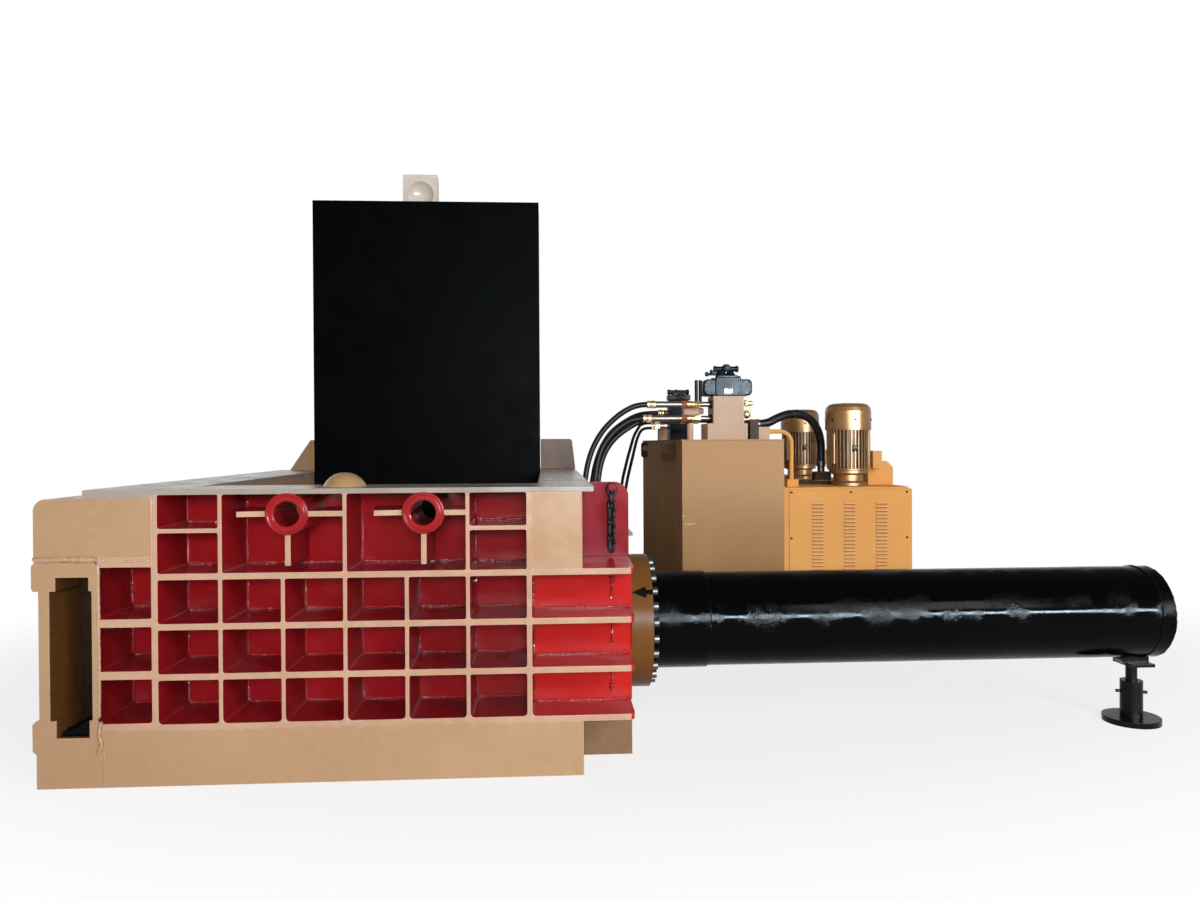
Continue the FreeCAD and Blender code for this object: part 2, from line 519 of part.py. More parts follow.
domeSphere = "((domeBase * domeBase + domeHeight * domeHeight) / (2 * domeHeight))"
domeCentre = f"(topHeight + domeHeight - {domeSphere})"
domeBall = doc.addObject("Part::Sphere", "DomeBall")
bind(domeBall, "Radius", domeSphere)
place(domeBall, "lugCentre", "domeBack", domeCentre)
domeRoom = box(("lugCentre - 2 * domeBase", "lugCentre + 2 * domeBase"),
               ("domeBack - 2 * domeBase", "domeBack + 2 * domeBase"),
               ("topHeight", "topHeight + 2 * domeHeight"))
domeCap = doc.addObject("Part::Common", "DomeCap")
domeCap.Base = domeBall
domeCap.Tool = domeRoom
node("locating_dome", domeCap)

# ---------------------------------------------------------------- right end
boxShell = box((housingLeft, "boxRight"), (0, "ribDepth"), ("shelfTop", UNDER_TOP))
boxHollow = box((f"{housingLeft} + boxSkin", "boxRight - boxSkin"),
                ("boxSkin", "ribDepth - boxSkin"),
                ("shelfTop + boxSkin", f"{UNDER_TOP} - boxSkin"))
node("corner_box", cut(boxShell, boxHollow))

frontCheek = box(("boxRight", "mountLeft"), ("housingFront", CHAMBER_FRONT), (FLOOR, CHANNEL_TOP))
cheekFoot = box(("boxRight", "mountLeft"), ("housingFront", "ribDepth"), ("baseHeight", FLOOR))
rearCheek = box((CHAMBER_RIGHT, "mountLeft"), (CHANNEL_BACK, "pedestalBack"), (FLOOR, CHANNEL_TOP))
housingRoof = box((CHAMBER_RIGHT, "mountLeft"), (CHAMBER_FRONT, "pedestalBack"),
                  (CHANNEL_TOP, "shelfTop"))
roofLip = box(("boxRight", "mountLeft"), ("housingFront", CHAMBER_FRONT),
              (CHANNEL_TOP, "shelfTop"))
mountPlate = box(("mountLeft", MOUNT_RIGHT),
                 ("housingFront + boxSkin / 4", "pedestalBack + boxSkin"), (FLOOR, "shelfTop"))
sideShelves = []
for top in shelves:
    levels = (f"{top} - shelfThick", top)
    sideShelves.append(box((housingLeft, "shelfEnd - shelfCorner"), (0, "housingFront"), levels))
    sideShelves.append(box(("shelfEnd - shelfCorner", "shelfEnd"),
                           ("shelfCorner", "housingFront + boxSkin"), levels))
    sideShelves.append(rod("z", "shelfEnd - shelfCorner", "shelfCorner", levels[0],
                           "shelfCorner", "shelfThick"))
rodPassage = rod("x", "mountLeft", AXIS_Y, AXIS_Z, "mainRod + ramGap", "mountThick")
frontPlate = box((housingLeft, "boxRight"), ("housingFront", "ribDepth"),
                 ("baseHeight", "shelfTop"))
housing = fuse(frontCheek, cheekFoot, rearCheek, housingRoof, roofLip, mountPlate, frontPlate,
               *sideShelves)
node("ram_housing", cut(housing, rodPassage))

platePlain = box(("chainPlateLeft", "chainPlateRight - chainPlateCorner"),
                 ("chainPlateFront", "chainPlateFront + chainPlateThick"),
                 ("shelfTop", UNDER_TOP))
plateSide = box(("chainPlateRight - chainPlateCorner", "chainPlateRight"),
                ("chainPlateFront", "chainPlateFront + chainPlateThick"),
                ("shelfTop", "topHeight - chainPlateCorner"))
plateRight = box(("topRight + linerGap", "chainPlateRight - chainPlateCorner"),
                 ("chainPlateFront", "chainPlateFront + chainPlateThick"),
                 (UNDER_TOP, "topHeight"))
plateRound = rod("y", "chainPlateRight - chainPlateCorner", "chainPlateFront",
                 "topHeight - chainPlateCorner", "chainPlateCorner", "chainPlateThick")
chainHole = rod("y", "chainHoleX", "chainPlateFront", CHAIN_Z, "chainPeg",
                "chainPlateThick")
chainLine = "(chainPlateFront - linkWidth / 2 - linkSlack * 8)"
pegShank = rod("y", "chainHoleX", f"{chainLine} - 2 * linkWire", CHAIN_Z, "chainPeg",
               "linkWidth / 2 + linkSlack * 8 + 2 * linkWire + chainPlateThick")
pegHead = rod("y", "chainHoleX", f"{chainLine} - 3 * linkWire", CHAIN_Z,
              "2 * chainPeg", "linkWire")
node("chain_plate", cut(fuse(platePlain, plateSide, plateRight, plateRound), chainHole),
     fuse(pegShank, pegHead))

# ---------------------------------------------------------------- main ram and cylinder
ramLeft = f"({CHAMBER_RIGHT} + ramGap)"
ramRight = f"({ramLeft} + ramLength)"
ramBlock = box((ramLeft, ramRight), (f"{CHAMBER_FRONT} + ramGap", f"{CHANNEL_BACK} - ramGap"),
               (f"{DECK} + ramGap", f"{CHANNEL_TOP} - ramGap"))
ramPocket = box((f"{ramLeft} + ramWall", ramRight),
                (f"{CHAMBER_FRONT} + ramWall", f"{CHANNEL_BACK} - ramWall"),
                (f"{DECK} + ramWall", f"{CHANNEL_TOP} - ramWall"))
node("main_ram", cut(ramBlock, ramPocket))
pistonLeft = f"({TUBE_RIGHT} - pistonThick - boxSkin)"
mainRod = rod("x", f"{ramLeft} + ramWall", AXIS_Y, AXIS_Z, "mainRod",
              f"{pistonLeft} - {ramLeft} - ramWall")
mainPiston = rod("x", pistonLeft, AXIS_Y, AXIS_Z, "mainBore - runGap", "pistonThick")
node("main_rod", fuse(mainRod, mainPiston))

flangeRoom = rod("x", FLANGE_LEFT, AXIS_Y, AXIS_Z, "flangeRadius", "flangeThick")
node("mounting_ring", cut(ring("x", MOUNT_RIGHT, AXIS_Y, AXIS_Z, "ringRadius", "mainRadius",
                               "ringThick"), flangeRoom))
spigot = rod("x", MOUNT_RIGHT, AXIS_Y, AXIS_Z, "mainRadius", f"{FLANGE_LEFT} - {MOUNT_RIGHT}")
mainFlange = rod("x", FLANGE_LEFT, AXIS_Y, AXIS_Z, "flangeRadius", "flangeThick")
collar = rod("x", FLANGE_RIGHT, AXIS_Y, AXIS_Z, "collarRadius", "collarLength")
mainTube = rod("x", TUBE_LEFT, AXIS_Y, AXIS_Z, "mainRadius", "tubeLength")
mainHollow = rod("x", FLANGE_LEFT, AXIS_Y, AXIS_Z, "mainBore", f"{TUBE_RIGHT} - {FLANGE_LEFT}")
spigotHole = rod("x", MOUNT_RIGHT, AXIS_Y, AXIS_Z, "mainRod + ramGap", "ringThick")
mainCap = rod("x", TUBE_RIGHT, AXIS_Y, AXIS_Z, "mainRadius", "capThick")
node("main_cylinder", cut(fuse(spigot, mainFlange, collar, mainTube), mainHollow, spigotHole),
     mainCap)
mainGland = ring("x", FLANGE_LEFT, AXIS_Y, AXIS_Z, "mainBore", "mainRod + runGap", "glandLength")
bolts = boltCircle("x", FLANGE_RIGHT, AXIS_Y, "boltCircle", "boltHead", "boltHeadLength",
                   int(number("boltCount")))

# ---------------------------------------------------------------- side pusher and cylinder
pusherFront = "(chamberBack + ramGap)"
pusherEnd = f"({pusherFront} + pusherLength)"
pusherSides = ("chamberLeft + ramGap", f"{CHAMBER_RIGHT} - ramGap")
pusherBlock = box(pusherSides, (pusherFront, pusherEnd),
                  (f"{DECK} + ramGap", f"{CHANNEL_TOP} - ramGap"))
pusherPockets = []
pocketWidth = "((chamberLength - 2 * ramGap - 4 * ramWall) / 3)"
for i in range(3):
    start = f"(chamberLeft + ramGap + ramWall + {i} * ({pocketWidth} + ramWall))"
    pusherPockets.append(box((start, f"{start} + {pocketWidth}"),
                             (f"{pusherFront} + ramWall", pusherEnd),
                             (f"{DECK} + ramWall", f"{CHANNEL_TOP} - ramWall")))
node("side_pusher", cut(pusherBlock, *pusherPockets))
sidePistonStart = f"({SIDE_TUBE_END} - sidePiston - boxSkin)"
sideRodBar = rod("y", CHAMBER_MIDDLE, f"{pusherFront} + ramWall", AXIS_Z, "sideRod",
                 f"{sidePistonStart} - {pusherFront} - ramWall")
sidePistonBar = rod("y", CHAMBER_MIDDLE, sidePistonStart, AXIS_Z, "sideBore - runGap",
                    "sidePiston")
node("side_rod", fuse(sideRodBar, sidePistonBar))
sideFlange = rod("y", CHAMBER_MIDDLE, REAR_FACE, AXIS_Z, "sideFlange", "rearThick")
sideTube = rod("y", CHAMBER_MIDDLE, SIDE_TUBE_START, AXIS_Z, "sideRadius", "sideTubeLength")
sideCap = rod("y", CHAMBER_MIDDLE, SIDE_TUBE_END, AXIS_Z, "sideRadius", "sideCapThick")
sideHollow = rod("y", CHAMBER_MIDDLE, REAR_FACE, AXIS_Z, "sideBore",
                 f"{SIDE_TUBE_END} - {REAR_FACE}")
node("side_cylinder", cut(fuse(sideFlange, sideTube, sideCap), sideHollow))
sideGland = ring("y", CHAMBER_MIDDLE, "bodyBack", AXIS_Z, "sideBore", "sideRod + runGap",
                 "glandLength")
node("cylinder_glands", mainGland, sideGland)
bolts += boltCircle("y", SIDE_TUBE_START, CHAMBER_MIDDLE, "sideBoltCircle", "sideBoltHead",
                    "sideBoltLength", int(number("sideBoltCount")))
node("flange_bolts", *bolts)

# ---------------------------------------------------------------- lid
lidLeft = "(chamberLeft + lidGap)"
lidWidth = "(chamberLength - 2 * lidGap)"
lidUnder = "(hingeBack - lidFace)"
lidBackFace = f"(hingeBack + {LID_BACK})"
lidTop = "(hingeHeight + lidReach)"
lidCore = (f"{lidUnder} + lidSkin", lidBackFace)
cellsLow = "(hingeHeight + knuckleTaper + lidRib)"
cellsTop = f"({lidTop} - lidRib)"
# the lid is welded up from plates: the hinge bar with its toe, the face plate and three edges
hingeToe = slab("YZ_Plane", [(lidUnder, "hingeHeight"), ("hingeBack + lidFace", "hingeHeight"),
                             (lidBackFace, "hingeHeight + knuckleTaper"), (lidBackFace, cellsLow),
                             (lidUnder, cellsLow)], lidLeft, lidWidth)
knuckle = rod("x", lidLeft, "hingeBack", "hingeHeight", "lidFace", lidWidth)
lidPlates = [
    box((lidLeft, f"{lidLeft} + {lidWidth}"), (lidUnder, lidCore[0]), (cellsLow, lidTop)),
    box((lidLeft, f"{lidLeft} + lidRib"), lidCore, (cellsLow, lidTop)),
    box((f"{lidLeft} + {lidWidth} - lidRib", f"{lidLeft} + {lidWidth}"), lidCore,
        (cellsLow, lidTop)),
    box((f"{lidLeft} + lidRib", f"{lidLeft} + {lidWidth} - lidRib"), lidCore,
        (cellsTop, lidTop)),
]
# the stiffening ribs are plates welded on the face: uprights with short plates between them
cells = int(number("lidCells"))
cellWidth = f"(({lidWidth} - {cells + 1} * lidRib) / {cells})"
cellHeight = f"((lidReach - knuckleTaper - {cells + 1} * lidRib) / {cells})"
for i in range(cells):
    cellLeft = f"({lidLeft} + lidRib + {i} * ({cellWidth} + lidRib))"
    if i > 0:
        lidPlates.append(box((f"{cellLeft} - lidRib", cellLeft), lidCore, (cellsLow, cellsTop)))
    for j in range(1, cells):
        cellLow = f"({cellsLow} + {j} * ({cellHeight} + lidRib))"
        lidPlates.append(box((cellLeft, f"{cellLeft} + {cellWidth}"), lidCore,
                           (f"{cellLow} - lidRib", cellLow)))
pinBore = rod("x", "chamberLeft", "hingeBack", "hingeHeight", "hingePin + runGap",
              "chamberLength")
cylinderRows = ("lidCylinderLeft", "lidCylinderRight")
ears = []
for row in cylinderRows:
    for start in (f"{row} - eyeThick / 2 - eyeGap - earThick", f"{row} + eyeThick / 2 + eyeGap"):
        earPlate = box((start, f"({start}) + earThick"), (lidCore[0], f"hingeBack + {EAR_BACK}"),
                       ("hingeHeight + earHeight - earRadius",
                        "hingeHeight + earHeight + earRadius"))
        earEnd, earHole = (rod("x", start, f"hingeBack + {EAR_BACK}", "hingeHeight + earHeight",
                               radius, "earThick") for radius in ("earRadius", "eyePin + runGap"))
        ears.append(cut(fuse(earPlate, earEnd), earHole))
node("lid_panel", cut(fuse(hingeToe, knuckle), pinBore), *lidPlates, *ears)

lugSides = ("lugCentre - lugWidth / 2", "lugCentre + lugWidth / 2")
lugDepth = (lidBackFace, f"{lidBackFace} + lugThick")
lugPlain = box(lugSides, lugDepth, (f"{lidTop} - lugRoot", f"{lidTop} + lugReach - lugCorner"))
lugTop = box((f"{lugSides[0]} + lugCorner", f"{lugSides[1]} - lugCorner"), lugDepth,
             (f"{lidTop} + lugReach - lugCorner", f"{lidTop} + lugReach"))
lugRounds = [rod("y", x, lidBackFace, f"{lidTop} + lugReach - lugCorner", "lugCorner",
                 "lugThick") for x in (f"{lugSides[0]} + lugCorner", f"{lugSides[1]} - lugCorner")]
# the socket is the dome's own ball, a little larger, turned back with the lid
socketBall = doc.addObject("Part::Sphere", "SocketBall")
bind(socketBall, "Radius", f"{domeSphere} + domeGap")
place(socketBall, "lugCentre", f"hingeBack + ({domeCentre} - hingeHeight)",
      "hingeHeight + (hingeBack - domeBack)")
node("lid_lug", cut(fuse(lugPlain, lugTop, *lugRounds), socketBall))

# ---------------------------------------------------------------- lid cylinders
# the cylinders stand between the bracket pins and the lid ears, so their line is worked out
swingY = number("swingBack")
swingZ = number("swingHeight")
eyeY = number(f"hingeBack + {EAR_BACK}")
eyeZ = number("hingeHeight + earHeight")
rise = math.atan2(eyeZ - swingZ, eyeY - swingY)
eyeDistance = math.hypot(eyeZ - swingZ, eyeY - swingY)
LEAN = Rotation(Vector(1, 0, 0), math.degrees(rise) - 90)


def leaning(row, start, radius, length):
    """A round bar on a lid cylinder's line, from a distance along it."""
    bar = doc.addObject("Part::Cylinder", "Bar")
    bar.Placement = FreeCAD.Placement(Vector(), LEAN)
    bind(bar, "Radius", radius)
    bind(bar, "Height", length)
    place(bar, row, f"swingBack + ({start}) * {math.cos(rise):.9f}",
          f"swingHeight + ({start}) * {math.sin(rise):.9f}")
    return bar


barrels = []
lidRods = []
for row in cylinderRows:
    eyeLeft = f"{row} - eyeThick / 2"
    barrelEye = rod("x", eyeLeft, "swingBack", "swingHeight", "eyeRadius", "eyeThick")
    barrelEyeHole = rod("x", eyeLeft, "swingBack", "swingHeight", "eyePin + runGap", "eyeThick")
    barrelNeck = leaning(row, "eyePin + runGap + 8", "barrelBore / 1.5",
                         "barrelStart - eyePin - runGap")
    barrelTube = leaning(row, "barrelStart", "barrelRadius", "barrelEnd - barrelStart")
    barrelHollow = leaning(row, "barrelStart + boxSkin", "barrelBore",
                           "barrelEnd - barrelStart - 2 * boxSkin")
    barrelMouth = leaning(row, "barrelEnd - 2 * boxSkin", "rodRadius + runGap", "3 * boxSkin")
    barrels.append(cut(fuse(barrelEye, barrelNeck, barrelTube),
                       barrelEyeHole, barrelHollow, barrelMouth))
    farEye = rod("x", eyeLeft, f"hingeBack + {EAR_BACK}", "hingeHeight + earHeight",
                 "eyeRadius", "eyeThick")
    piston = leaning(row, "barrelStart + boxSkin + 5", "barrelBore - runGap", "barrelPiston")
    stem = leaning(row, "barrelStart + boxSkin + 5 + barrelPiston", "rodRadius",
                   f"{eyeDistance:.6f} - barrelStart - boxSkin - 5 - barrelPiston")
    lidRods.append(fuse(farEye, piston, stem))
node("lid_cylinder_barrels", *barrels)
node("lid_cylinder_rods", *lidRods)

brackets = []
bracketPins = []
for row in cylinderRows:
    for start in (f"{row} - eyeThick / 2 - eyeGap - earThick", f"{row} + eyeThick / 2 + eyeGap"):
        arm = slab("YZ_Plane", [(REAR_FACE, "swingHeight - 4 * earRadius"),
                                ("swingBack", "swingHeight - earRadius"),
                                ("swingBack", "swingHeight"),
                                (REAR_FACE, "swingHeight - earRadius")], start, "earThick")
        armRound = rod("x", start, "swingBack", "swingHeight", "earRadius", "earThick")
        armHole = rod("x", start, "swingBack", "swingHeight", "eyePin", "earThick")
        brackets.append(cut(fuse(arm, armRound), armHole))
    bracketPins.append(rod("x", f"{row} - eyeThick / 2 - eyeGap - earThick - 10", "swingBack",
                           "swingHeight", "eyePin", "eyeThick + 2 * eyeGap + 2 * earThick + 20"))
node("lid_cylinder_brackets", *brackets)
node("pivot_pins", *pivotPins, *bracketPins)

# ---------------------------------------------------------------- hanging chain
# each link is turned about the chain's line against the one above
chainLinks = []
wire = number("linkWire")
straight = number("linkLength - linkWidth")
wide = number("linkWidth / 2 - linkWire")
linkStep = number("linkLength - 4 * linkWire - linkSlack")
for i, turn in enumerate((0, 75, -30, 50, -45, 45, -42, 48)):
    path = Part.Wire([
        Part.LineSegment(Vector(-wide, 0, 0), Vector(-wide, 0, -straight)).toShape(),
        Part.Arc(Vector(-wide, 0, -straight), Vector(0, 0, -straight - wide),
                 Vector(wide, 0, -straight)).toShape(),
        Part.LineSegment(Vector(wide, 0, -straight), Vector(wide, 0, 0)).toShape(),
        Part.Arc(Vector(wide, 0, 0), Vector(0, 0, wide), Vector(-wide, 0, 0)).toShape()])
    profile = Part.Wire([Part.Circle(Vector(-wide, 0, 0), Vector(0, 0, 1), wire).toShape()])
    link = doc.addObject("Part::Feature", "Link")
    link.Shape = path.makePipeShell([profile], True, False)
    link.Placement = FreeCAD.Placement(
        Vector(number(f"chainHoleX - {MIDDLE_X}"), number(f"{chainLine} - {MIDDLE_Y}"),
               number(f"{CHAIN_Z} + chainPeg + 2 * linkWire + linkSlack - linkWidth / 2")
               - i * linkStep), Rotation(Vector(0, 0, 1), turn))
    chainLinks.append(link)
node("hanging_chain", *chainLinks)

# ---------------------------------------------------------------- support foot
footDisc = rod("z", FOOT_X, AXIS_Y, 0, "footRadius", "footThick")
footTube = rod("z", FOOT_X, AXIS_Y, "footThick", "footTube", "footTubeTop - footThick")
footBore = rod("z", FOOT_X, AXIS_Y, "footThick", "footRod + runGap", "footTubeTop")


def crossPin(radius):
    """The leg's locking pin, turned a little about the leg."""
    bar = doc.addObject("Part::Cylinder", "Pin")
    turn = Rotation(Vector(0, 0, 1), -19).multiply(TURN["x"])
    bar.Placement = FreeCAD.Placement(Vector(), turn)
    bind(bar, "Radius", radius)
    bind(bar, "Height", "footPinLength")
    place(bar, f"{FOOT_X} - footPinLength * {math.cos(math.radians(19)) / 2:.6f}",
          f"{AXIS_Y} + footPinLength * {math.sin(math.radians(19)) / 2:.6f}", "footPinHeight")
    return bar


node("foot_base", cut(fuse(footDisc, footTube), footBore, crossPin("footPin + runGap")))
saddlePlate = box((f"{FOOT_X} - saddleLength * 0.4", f"{FOOT_X} + saddleLength * 0.6"),
                  (f"{AXIS_Y} - saddleWidth / 2", f"{AXIS_Y} + saddleWidth / 2"),
                  ("saddleLow", "saddleLow + saddleThick"))
saddleBlock = box((f"{FOOT_X} - saddleLength * 0.4", f"{FOOT_X} + saddleLength * 0.6 - saddleThick / 2"),
                  (f"{AXIS_Y} - saddleWidth / 4", f"{AXIS_Y} + saddleWidth / 4"),
                  ("saddleLow", "saddleLow + saddleRise"))
saddleRoom = rod("x", f"{FOOT_X} - saddleLength", AXIS_Y, AXIS_Z, "mainRadius", "2 * saddleLength")
footPost = rod("z", FOOT_X, AXIS_Y, "footThick + 30", "footRod", "saddleLow - footThick - 30")
saddleWedge = slab("XZ_Plane", [(f"{FOOT_X} - saddleLength * 0.4", "saddleLow"),
                                (f"{FOOT_X} - saddleLength * 0.4", "saddleLow + saddleRise / 2"),
                                (f"{FOOT_X} - saddleLength * 0.6", "saddleLow + saddleRise / 2"),
                                (f"{FOOT_X} - saddleLength * 0.6", "saddleLow + saddleRise / 3")],
                   f"{AXIS_Y} - saddleWidth / 4", "saddleWidth / 2")
node("foot_post", cut(fuse(saddlePlate, saddleBlock, footPost, saddleWedge), saddleRoom,
                      crossPin("footPin + runGap")), crossPin("footPin"))

# ---------------------------------------------------------------- tank and pump cabinet
unitDepth = ("unitFront", "unitBack")


def shell(x, y, z, skin):
    inner = [(f"{low} + {skin}", f"{high} - {skin}") for low, high in (x, y, z)]
    return cut(box(x, y, z), box(*inner))


node("oil_tank", shell(("tankLeft", "tankRight"), unitDepth, (0, "tankHeight"), "sheetThick"))
node("tank_cover", box(("tankLeft - coverOver", "tankRight"),
                       ("unitFront - coverOver", "unitBack"), ("tankHeight", COVER_TOP)))
cabinetShell = shell(("tankRight", "cabinetRight"), unitDepth, (0, "cabinetHeight"), "sheetThick")
motorRows = ("motorFront", "motorBack")
couplingHoles = [rod("z", "motorX", row, "cabinetHeight - 2 * sheetThick", "couplingRadius",
                     "2 * sheetThick + 2 * deckThick") for row in motorRows]
node("pump_cabinet", cut(cabinetShell, *couplingHoles))
panelLeft = "(tankRight + panelInset)"
panelRight = "(cabinetRight - sheetThick)"
panel = box((panelLeft, panelRight), ("unitFront - sheetThick", "unitFront"),
            ("sheetThick", "cabinetHeight - sheetThick"))
louvers = []
panelWidth = f"({panelRight} - {panelLeft})"
for share in (0.23, 0.49, 0.755):
    louverLeft = f"({panelLeft} + {share} * {panelWidth} - louverWidth / 2)"
    for i in range(int(number("louverCount"))):
        louverLow = f"({LOUVER_TOP} - {i} * louverPitch)"
        louvers.append(box((louverLeft, f"{louverLeft} + louverWidth"),
                           ("unitFront - sheetThick - louverRise", "unitFront - sheetThick"),
                           (louverLow, f"{louverLow} + louverPitch / 2.4")))
screws = []
for height in [f"{LOUVER_TOP} + {rise}" for rise in (69, -203, -475, -747)]:
    for x in (f"{panelLeft} + 12", f"{panelRight} - 28"):
        screws.append(rod("y", x, "unitFront - sheetThick - 4", height, "screwHead", 4))
screws.append(rod("y", f"({panelLeft} + {panelRight}) / 2", "unitFront - sheetThick - 4",
                  f"{LOUVER_TOP} + 69", "screwHead", 4))
node("cabinet_panel", fuse(panel, *louvers), *screws)
deckRight = "(cabinetRight - deckOver)"
deckPlate = box(("tankRight", deckRight), ("unitFront + 10", "unitBack - 10"),
                ("cabinetHeight", DECK_TOP))
deckHoles = [rod("z", "motorX", row, "cabinetHeight", "couplingRadius", "deckThick")
             for row in motorRows]
node("motor_deck", cut(deckPlate, *deckHoles))

# ---------------------------------------------------------------- motors
frames = []
cowls = []
terminals = []
for row in motorRows:
    bell = turned([(0, 0), ("bellRadius", 0), ("bellRadius", "deckThick * 1.5"),
                   ("neckRadius", "deckThick * 2.5"), ("neckRadius", "bellHeight * 0.62"),
                   ("bodyRadius", "bellHeight * 0.72"), ("bodyRadius", "bellHeight"),
                   ("bodyRadius", "bellHeight + bodyHeight"), (0, "bellHeight + bodyHeight")],
                  "z", "motorX", row, DECK_TOP)
    fins = []
    for i in range(int(number("finCount"))):
        fin = doc.addObject("Part::Box", "Fin")
        bind(fin, "Length", "finDepth + 6")
        bind(fin, "Width", "finThick")
        bind(fin, "Height", "bodyHeight")
        angle = 2 * math.pi * i / number("finCount")
        fin.Placement = FreeCAD.Placement(Vector(), Rotation(Vector(0, 0, 1),
                                                             math.degrees(angle)))
        place(fin, f"motorX + (bodyRadius - 6) * {math.cos(angle):.6f}"
              f" + finThick / 2 * {math.sin(angle):.6f}",
              f"{row} + (bodyRadius - 6) * {math.sin(angle):.6f}"
              f" - finThick / 2 * {math.cos(angle):.6f}", BELL_TOP)
        fins.append(fin)
    core = rod("z", "motorX", row, f"{BELL_TOP} + deckThick", "bodyBore",
               "bodyHeight - 2 * deckThick")
    shaftBore = rod("z", "motorX", row, DECK_TOP, "shaftRadius + runGap",
                    "bellHeight + bodyHeight")
    frames.append(cut(fuse(bell, *fins), core, shaftBore))
    cowl = turned([(0, 0), ("cowlRadius", 0), ("cowlRadius", "cowlHeight - cowlRound"),
                   ("cowlRadius - cowlRound * 0.13", "cowlHeight - cowlRound * 0.5"),
                   ("cowlRadius - cowlRound * 0.5", "cowlHeight - cowlRound * 0.13"),
                   ("cowlRadius - cowlRound", "cowlHeight"), (0, "cowlHeight")],
                  "z", "motorX", row, BODY_TOP)
    cowlRoom = rod("z", "motorX", row, BODY_TOP, "bodyRadius + finDepth - 2",
                   "cowlHeight - cowlRound")
    cowls.append(cut(cowl, cowlRoom))
    terminals.append(box(("motorX + bodyRadius + finDepth",
                          "motorX + bodyRadius + finDepth + terminalLength"),
                         (f"{row} + 17 - terminalWidth", f"{row} + 17"),
                         (BELL_TOP, f"{BELL_TOP} + terminalHeight")))
node("motor_frames", *frames)
node("motor_cowls", *cowls)
coverBoxFront = "motorFront + 20"
coverLow = DECK_TOP
coverHigh = f"({DECK_TOP} + coverBoxHeight)"
coverBox = slab("XZ_Plane", [(f"{deckRight} - coverBoxLength", coverLow), (deckRight, coverLow),
                             (deckRight, f"{coverHigh} - coverBoxChamfer"),
                             (f"{deckRight} - coverBoxChamfer", coverHigh),
                             (f"{deckRight} - coverBoxLength", coverHigh)],
                coverBoxFront, "coverBoxDepth")
node("terminal_boxes", *terminals, coverBox)
shaftLow = "(cabinetHeight - 5 * sheetThick)"
pumpTop = "(cabinetHeight - sheetThick)"
pumps = []
for row in motorRows:
    pumpBody = rod("z", "motorX", row, f"{pumpTop} - pumpLength", "pumpRadius", "pumpLength")
    pumpBore = rod("z", "motorX", row, shaftLow, "shaftRadius + runGap", f"{pumpTop} - {shaftLow}")
    pumps.append(cut(pumpBody, pumpBore))
node("oil_pumps", *pumps)
for label, row in (("front_rotor", motorRows[0]), ("rear_rotor", motorRows[1])):
    shaft = rod("z", "motorX", row, shaftLow, "shaftRadius",
                f"{BODY_TOP} + cowlHeight - cowlRound - boxSkin - {shaftLow}")
    core = rod("z", "motorX", row, f"{BELL_TOP} + 2 * deckThick", "bodyBore - boxSkin / 2",
               "bodyHeight - 4 * deckThick")
    hub = rod("z", "motorX", row, f"{BODY_TOP} + deckThick", "2 * shaftRadius", "4 * deckThick")
    blades = []
    for i in range(8):
        blade = doc.addObject("Part::Box", "Blade")
        bind(blade, "Length", "cowlRadius - 2 * boxSkin")
        bind(blade, "Width", "finThick")
        bind(blade, "Height", "3 * deckThick")
        blade.Placement = FreeCAD.Placement(Vector(), Rotation(Vector(0, 0, 1), 45 * i))
        place(blade, "motorX", row, f"{BODY_TOP} + 1.5 * deckThick")
        blades.append(blade)
    node(label, fuse(shaft, core, hub, *blades))

# ---------------------------------------------------------------- valves on the tank
manifoldRight = "(manifoldLeft + manifoldWidth)"
manifoldBack = "(manifoldFront + manifoldDepth)"
manifoldTop = f"({MANIFOLD_LOW} + manifoldHeight)"
plinth = box(("manifoldLeft - plinthMargin", f"{manifoldRight} + plinthMargin / 2"),
             ("manifoldFront - plinthMargin / 2", f"{manifoldBack} + plinthMargin / 2"),
             (COVER_TOP, MANIFOLD_LOW))
frontBlock = box(("manifoldLeft", manifoldRight), ("manifoldFront", manifoldBack),
                 (MANIFOLD_LOW, manifoldTop))
rearFront = f"({manifoldBack} + rearManifoldBack - manifoldDepth)"
rearRight = "(rearManifoldLeft + rearManifoldWidth)"
rearTop = f"({COVER_TOP} + rearManifoldHeight)"
rearBlock = box(("rearManifoldLeft", rearRight), (rearFront, f"{rearFront} + rearManifoldDepth"),
                (COVER_TOP, rearTop))
node("valve_manifolds", fuse(plinth, frontBlock), rearBlock)

valveMiddle = "(manifoldFront + manifoldDepth / 2)"
valveBody = box(("manifoldLeft", manifoldRight), ("manifoldFront + 15", f"{manifoldBack} - 15"),
                (manifoldTop, f"{manifoldTop} + valveHeight"))
valveEnds = box(("manifoldLeft - valveOver", f"{manifoldRight} + valveOver"),
                ("manifoldFront + 30", f"{manifoldBack} - 30"),
                (f"{manifoldTop} + 6", f"{manifoldTop} + valveHeight"))
pilotMiddle = f"(({manifoldRight} + manifoldLeft) / 2)"
pilotLow = f"({manifoldTop} + valveHeight)"
pilotBody = box((f"{pilotMiddle} - 72", f"{pilotMiddle} + 72"),
                (f"{valveMiddle} - 38", f"{valveMiddle} + 38"),
                (pilotLow, f"{pilotLow} + pilotHeight"))
pilotCoils = rod("x", f"{pilotMiddle} - 62", valveMiddle, f"{pilotLow} + pilotHeight + 16", 22,
                 164)
pilotKnob = rod("z", f"{pilotMiddle} + 20", valveMiddle, f"{pilotLow} + pilotHeight", 26, 47)
rearValve = box(("rearManifoldLeft - 14", f"{rearRight} + 28"),
                (f"{rearFront} + 25", f"{rearFront} + 125"), (rearTop, f"{rearTop} + 44"))
rearCoil = rod("x", "rearManifoldLeft + 10", f"{rearFront} + 75", f"{rearTop} + 58", 22, 84)
